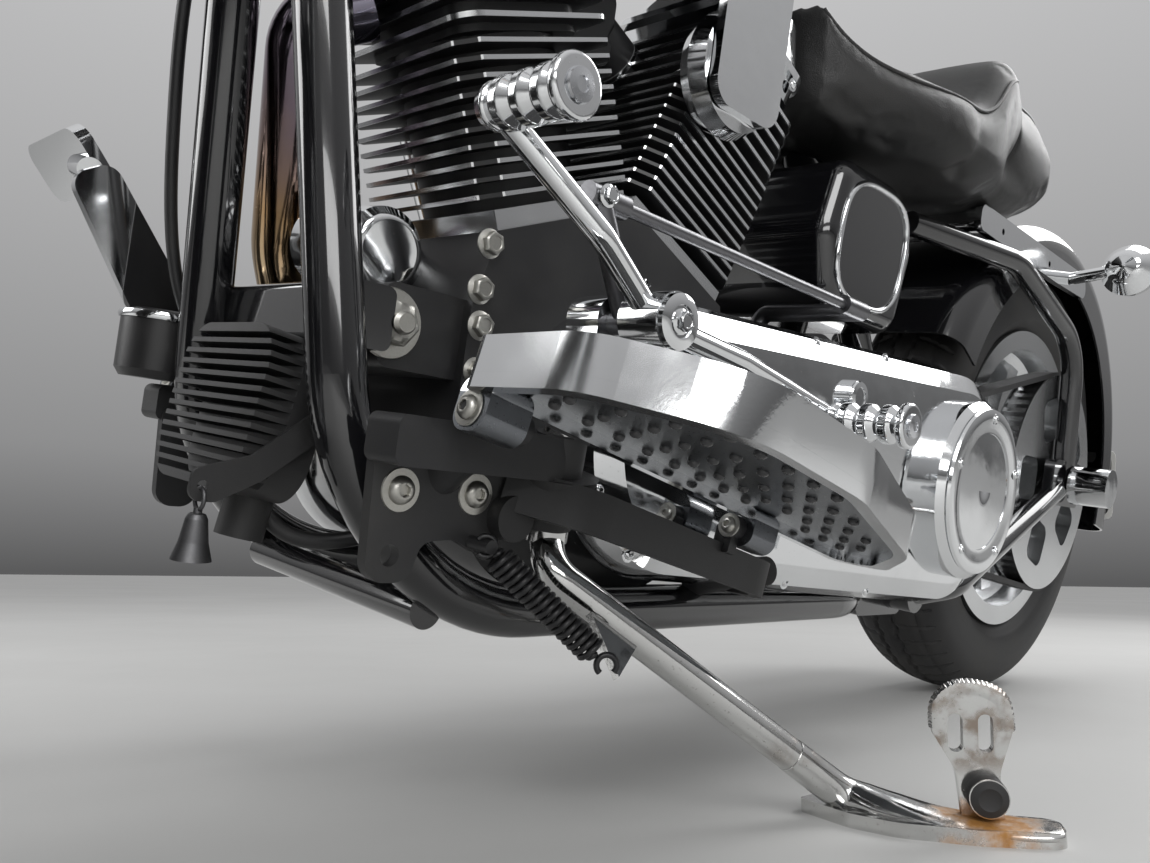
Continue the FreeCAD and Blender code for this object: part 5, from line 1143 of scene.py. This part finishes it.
dress("brake_pedal", two_tone("pedal_finish", reservoir_mask, PLATE, (0.01, 0.01, 0.011), 0.06, 0.3))
piece("reservoir_clamp", [turned_on(CUP_RIM, CUP_AT, UP, 48)], chrome, "chassis", crease=50)
cable_sleeve = rubber("cable_sleeve", (0.012, 0.012, 0.013), 0.42, 0.3)
cables = [swept(smooth_path(TUBE_CABLE, 80), 4.5, 12, (0, 1, 0.1)),
          swept(smooth_path(PLUG_CABLE, 50), 5.5, 12, (0, 1, 0.1))]
piece("down_tube_cable", cables, cable_sleeve, "chassis")

# %% [markdown]
# The primary case is plated and closed with screws round its rim. Its round clutch cover has a proud rim
# and five screws, and the small filler cap ahead of it is dished. The shift lever is clamped to its shaft
# with a cap and a bolt. All of them are turned profiles set on the case's flat face.

# %% Primary case and shift lever trim
COVER_RIM = [(60, -0.4), (66, -0.4), (72, 1.2), (80, 1.6), (84.5, 0.2), (86, -2.2), (80, -2.4), (60, -2.0),
             (60, -0.4)]
FILLER_CAP = [(0, 0), (13.5, 0), (14.2, 1.2), (13.4, 2.6), (9, 3.2), (8.6, 2.2), (0, 2.2)]
LEVER_HUB = [(0, 0), (17.5, 0), (18.2, 1.0), (17.6, 4.0), (14, 5.4), (10.5, 5.6), (10, 4.2), (0, 4.2)]
PEG_END = [(0, 0), (9, 0), (9.6, 1.0), (9, 2.4), (4.4, 3.0), (4.0, 2.0), (0, 2.0)]
clutch_at = np.array([463.0, 197.8, crank[2]])
trim = [turned_on(COVER_RIM, clutch_at, LEFT, 96), turned_on(FILLER_CAP, (711, 178.5, 352), LEFT, 40)]
trim += [button(clutch_at + (x, 1.2, z), LEFT, 3.6) for x, z in bolt_circle(5, 75, 90)]
rim_screws = [(crank[0] + 92 * math.cos(a), 92 * math.sin(a)) for a in np.radians([-60, -25, 10, 60, 110])]
rim_screws += [(760, 99), (640, 106), (760, -99), (620, -108)]
trim += [button((x, 161.5, crank[2] + z), LEFT, 4.2) for x, z in rim_screws]
piece("primary_trim", trim, chrome, "chassis", crease=40)
hub_at = np.array([996.0, 207.6, 361.0])
shift_cap = [turned_on(LEVER_HUB, hub_at, LEFT, 48), flanged(hub_at + (0, 4, 0), LEFT, 5.6, 0.3),
             flanged((1012, 190, 379), (0.5, 0, 0.8), 4.4), flanged((1036, 174.4, 431), LEFT, 5)]
piece("shift_cap", shift_cap, chrome, "chassis")
peg_caps = [turned_on(PEG_END, at, LEFT) for at in ((1116, 223.8, 460), (752, 249.8, 328))]
piece("peg_caps", peg_caps, chrome_satin, "chassis")

# %% [markdown]
# A bright bead runs round the black cover under the seat on both sides. Its path is a superellipse that
# leans back with the cover's outline.

# %% Side cover trim


def cover_bead(side):
    """Closed ring on the cover's face: a superellipse of power 3, sheared along with its height."""
    x, z = rounded_square(3, 96)
    ring = np.stack([573 + 66 * x - 6.2 * z, 0 * x + side * 98.2, 521 + 62 * z], -1)
    return swept(ring, 3.2, 10, (0, side, 0), closed=True)


piece("side_cover_trim", [cover_bead(1), cover_bead(-1)], chrome, "chassis", crease=60)

# %% [markdown]
# Heat has tinted the exhaust near the heads: plated pipe turns straw, then brown and blue, and clears again
# about a hand's length down. The colour is a ramp over the distance from each port. Clamps hold the
# silencers on, each a band with a bolt across its ears.

# %% Heat-tinted exhaust
PORTS = ((1065.0, -20.0, 560.0), (758.0, -45.0, 560.0))
TINTS = [(0.0, (0.20, 0.19, 0.24)), (0.16, (0.22, 0.17, 0.2)), (0.34, (0.42, 0.27, 0.14)),
         (0.62, (0.62, 0.5, 0.34)), (1.0, (0.76, 0.77, 0.78))]
CLAMP_BAND = [(43.5, -9), (46, -9), (47, -7), (47, 7), (46, 9), (43.5, 9), (43.5, -9)]


def exhaust_finish():
    """Chrome whose colour follows the distance from the nearer port through straw, brown and blue."""
    f = Finish("exhaust_chrome")
    reaches = []
    for port in PORTS:
        x, y, z = local(f, UPRIGHT, port)
        reaches.append((x ** 2.0 + y ** 2.0 + z ** 2.0) ** 0.5)
    clouds = f.noise(12.0, 4.0)
    share = (reaches[0].least(reaches[1]) + clouds * 60.0).step(60.0, 420.0)
    tint = f.add("ShaderNodeValToRGB", {"stops": TINTS}, {"Fac": share})
    grit = f.noise(420.0, 2.0).step(0.64, 0.8)
    dull = grit * 0.2 + clouds * 0.1 + 0.05
    return f.surface(Base_Color=f.mixed(grit * 0.3, tint, (0.2, 0.18, 0.16)), Roughness=dull, Metallic=1.0,
                     Normal=f.bump(f.noise(30.0), 0.0008, 0.3))


dress("exhaust_pipes", exhaust_finish())
clamps = []
for x, z in ((330, 223.5), (390, 323.5)):
    clamps.append(turned_on(CLAMP_BAND, (x, -201, z), (1, 0.015, -0.02), 48))
    clamps.append(flanged((x, -248, z), RIGHT, 5, 0.2))
piece("silencer_clamps", clamps, chrome, "chassis", crease=50)

# %% [markdown]
# The tail lamp and a blank plate on its bracket close the end that the photograph doesn't show. Both are
# stacks of rounded squares, which fit a moulded lens as well as a pressed sheet.

# %% Tail lamp and plate
TAIL_TILT, PLATE_OUT = 25.0, 374.0
FENDER_GAP, CLEARANCE, LAMP_DEPTH = 45.0, 1.0, 58.0
TAIL_OUT = REAR_RADIUS + FENDER_GAP + CLEARANCE + LAMP_DEPTH


def stacked(half_u, half_v, power, steps, rows):
    """Rings of a superellipse, one for each (share of the half sizes, height)."""
    x, y = rounded_square(power, steps)
    points = np.concatenate([np.stack([half_u * r * x, half_v * r * y, h + 0 * x], -1) for r, h in rows])
    return points, grid_faces(len(rows), steps, wrap_columns=True)


def cushion_dome(half_u, half_v, high, power=4.0, count=36):
    """Lens over a superellipse: its height is the square root of 1 less the distance to the 4th power."""
    rows = [(r, high * math.sqrt(1 - r ** 4)) for r in np.linspace(0, 1, count)]
    return stacked(half_u, half_v, power, 56, rows + [(1, -3.0), (0, -3.0)])


def plate_sheet(half_u, half_v, power, low, high):
    """Rounded rectangle as rings of a superellipse, flat both sides with a raised border."""
    rows = [(0, high - 0.7), (0.94, high - 0.7), (0.955, high), (0.99, high), (1.0, high - 0.4), (1.0, low),
            (0, low)]
    return stacked(half_u, half_v, power, 96, rows)


def facing_back(start, away, up):
    """Frame whose X is across the machine and Y and Z are the given directions in its middle plane."""
    return frame_at(REAR_AXLE + start, np.column_stack([LEFT, up, away]))


def plate_paint():
    """Off-white paint with a little grime."""
    f = Finish("plate_white")
    clouds = f.noise(20.0, 4.0)
    tone = f.mixed(clouds * 0.4, (0.62, 0.62, 0.6), (0.45, 0.44, 0.41))
    normal = f.bump(f.noise(200.0), 0.00003, 0.4)
    return f.surface(Base_Color=tone, Roughness=clouds * 0.2 + 0.3, Normal=normal)


tail_turn = about_y(TAIL_TILT)
tail_way, tail_up = -tail_turn[:, 0], tail_turn[:, 2]
piece("tail_lens", [cushion_dome(42, 26, 9)], red, "chassis",
      facing_back(tail_way * TAIL_OUT, tail_way, tail_up), 60)
plate_start = np.array([-0.9986, 0.0, 0.0523]) * PLATE_OUT
plate_place = facing_back(plate_start, (-0.98, 0.0, 0.199), (0.199, 0.0, 0.98))
piece("plate_blank", [plate_sheet(90, 62, 14, 0.4, 2.2)], plate_paint(), "chassis", plate_place)
plate_holder = [plate_sheet(84, 56, 10, -2.4, 0.6)]
plate_holder += [button((side * 62, 48, 1.6), UP, 3.4) for side in (1, -1)]
piece("plate_holder", plate_holder, satin_black, "chassis", plate_place)

# %% [markdown]
# The dial and two filler caps sit on the tank. The dial's face has no numbers, only scale marks and a
# needle, and these are part of its material: stripes of the angle between two radii.

# %% Dial and filler caps
DIAL_AT = np.array([985.0, 0.0, 962.0])
DIAL_DISC = [(0, 0), (40.5, 0), (40.5, 0.8), (0, 0.8)]
DIAL_GLASS = [(0, 5.4), (30, 4.4), (40, 2.2), (42.6, 0.4), (42.6, -0.6), (0, -0.6)]
TANK_CAP = [(0, 12), (24, 11), (31, 8), (33, 4), (33.6, 0), (33, -6), (0, -6)]


def dial_face():
    """Dark face with pale scale marks: stripes of the angle between two radii, and a needle."""
    f = Finish("dial_face")
    x, y, z = local(f, UPRIGHT, DIAL_AT)
    radius = (x ** 2.0 + y ** 2.0) ** 0.5
    wave = (y.angle_over(x) * 24.0).alone("COSINE")
    marks = wave.step(0.9, 0.95) * radius.step(32.0, 32.4) * (1 - radius.step(37.6, 38.0))
    needle = (1 - abs(y - x * 0.6).step(0.8, 1.1)) * x.step(0.0, 0.5) * (1 - radius.step(30.0, 31.0))
    tone = f.mixed(marks, (0.012, 0.012, 0.013), (0.75, 0.75, 0.72))
    return f.surface(Base_Color=f.mixed(needle, tone, (0.7, 0.16, 0.03)), Roughness=f.noise(40.0) * 0.1 + 0.3)


dial_up = about_y(-8)[:, 2]
disc = turned_on(DIAL_DISC, DIAL_AT + dial_up * 15.6, dial_up, 64)
piece("dial_face_disc", [disc], dial_face(), "chassis")
piece("dial_glass", [turned_on(DIAL_GLASS, DIAL_AT + dial_up * 17, dial_up, 64)], clear, "chassis")
caps = [turned_on(TANK_CAP, (905, side * 74, 938), (0, side * 0.26, 1), 60) for side in (1, -1)]
piece("tank_caps", caps, chrome, "chassis", crease=50)

# %% [markdown]
# Two spark plug leads come from under the tank to the left of each head, and the wheels' discs and the
# engine's covers get the bolts that hold them. Bolt circles are rows of angles; the leads are tubes on a
# smooth curve.

# %% Leads and the remaining bolts
LEAD_BENDS = [(0, 0, 0), (0, 22, 6), (-12, 34, 46), (-50, 22, 110), (-82, -18, 150)]
PLUG_BOOT = [(0, -4), (7, -4), (7.6, 0), (7.2, 16), (5, 20), (0, 20)]
lead_black = rubber("lead_black", (0.012, 0.012, 0.012), 0.35, 0.2)
leads = []
for sign in (1, -1):
    start = crank + (sign * 128, 84, 322)
    leads.append(swept(smooth_path(start + np.multiply(LEAD_BENDS, (sign, 1, 1)), 50), 3.8, 10, (1, 0, 0.2)))
    leads.append(turned_on(PLUG_BOOT, start, LEFT, 20))
piece("plug_leads", leads, lead_black, "chassis")
cover_bolts = [button(crank + (88 * math.cos(a) - 2, -115.4, 74 * math.sin(a) + 10), RIGHT, 4.0)
               for a in np.radians([20, 65, 115, 160, 205, 250, 300, 340])]
for tilt in (HALF_VEE, -HALF_VEE):
    for across in (-44, 44):
        for side in (1, -1):
            at = crank + about_y(tilt) @ (across, side * 75.4, 396.5)
            cover_bolts.append(button(at, (0, side, 0), 4.0))
cover_bolts += [button(crank + (x, -175.5, z + 285), RIGHT, 4.4) for x, z in bolt_circle(3, 60, 90)]
piece("cover_bolts", cover_bolts, chrome, "chassis")
for name, axis, place in (("front", (0, 67, 0), front_place), ("rear", (0, -71, 0), rear_place)):
    disc_bolts = [button((x, axis[1], z), axis, 5) for x, z in bolt_circle(5, 44)]
    piece(name + "_disc_bolts", disc_bolts, chrome, name + "_wheel", place)

# %% [markdown]
# The room is plain: a pale floor that keeps the shadow, a pale surround, and four large soft lamps. Chrome
# shows only what is around it, so the surround is darker near the horizon than overhead, which gives each
# plated curve a line to bend.

# %% Floor and light
FLOOR_REACH = 40.0
SKY = ((0.0, 0.3), (0.5, 0.14), (0.56, 0.36), (0.8, 0.75), (1.0, 0.95))


def floor_finish():
    """Matt grey in two close shades, in clouds."""
    f = Finish("floor_grey")
    tone = f.mixed(f.noise(1.3, 5.0), (0.5, 0.5, 0.49), (0.62, 0.62, 0.61))
    return f.surface(Base_Color=tone, Roughness=f.noise(9.0) * 0.2 + 0.5)


class Surround(Finish):
    """The world's node tree in the making."""

    def __init__(self, name):
        self.world = bpy.data.worlds.new(name)
        self.world.use_nodes = True
        self.tree = self.world.node_tree
        self.tree.nodes.clear()


def studio():
    """Grey that follows the height of the direction, from straight down, at 0, to straight up, at 1."""
    s = Surround("studio")
    direction = s.add("ShaderNodeTexCoord", out="Generated")
    height = s.add("ShaderNodeSeparateXYZ", None, {0: direction}, "Z")
    share = s.add("ShaderNodeMapRange", None, {"Value": height, "From Min": -1.0})
    stops = [(at, (level, level, level * 1.01)) for at, level in SKY]
    sky = s.add("ShaderNodeValToRGB", {"stops": stops}, {"Fac": share})
    light = s.add("ShaderNodeBackground", None, {"Color": sky, "Strength": 0.75})
    s.add("ShaderNodeOutputWorld", None, {"Surface": light})
    return s.world


def softbox(name, place, target, width, height, power):
    """Large flat lamp that faces a point."""
    light = bpy.data.lights.new(name, "AREA")
    light.shape = "RECTANGLE"
    light.size, light.size_y = width, height
    light.energy = power
    lamp = linked(name, light)
    look = (Vector(target) - Vector(place)).to_track_quat("-Z", "Y")
    lamp.matrix_world = Matrix.Translation(Vector(place)) @ look.to_matrix().to_4x4()


corners = np.array([(-1, -1, 0), (1, -1, 0), (1, 1, 0), (-1, 1, 0)]) * FLOOR_REACH
floor_mesh = bpy.data.meshes.new("floor")
floor_mesh.from_pydata(corners.tolist(), [], [(0, 1, 2, 3)])
floor_mesh.materials.append(floor_finish())
linked("floor", floor_mesh)
bpy.context.scene.world = studio()
softbox("key", (2.2, 3.2, 2.8), (0.1, 0.0, 0.5), 2.6, 1.6, 78)
softbox("fill", (3.2, -2.2, 2.0), (0.1, 0.0, 0.4), 2.2, 2.2, 55)
softbox("back", (-2.8, 0.8, 2.6), (0.0, 0.0, 0.6), 2.0, 2.0, 60)
softbox("low", (1.9, 2.9, 0.9), (0.0, 0.0, 0.35), 2.4, 0.5, 20)
bpy.context.scene.view_settings.view_transform = "Standard"
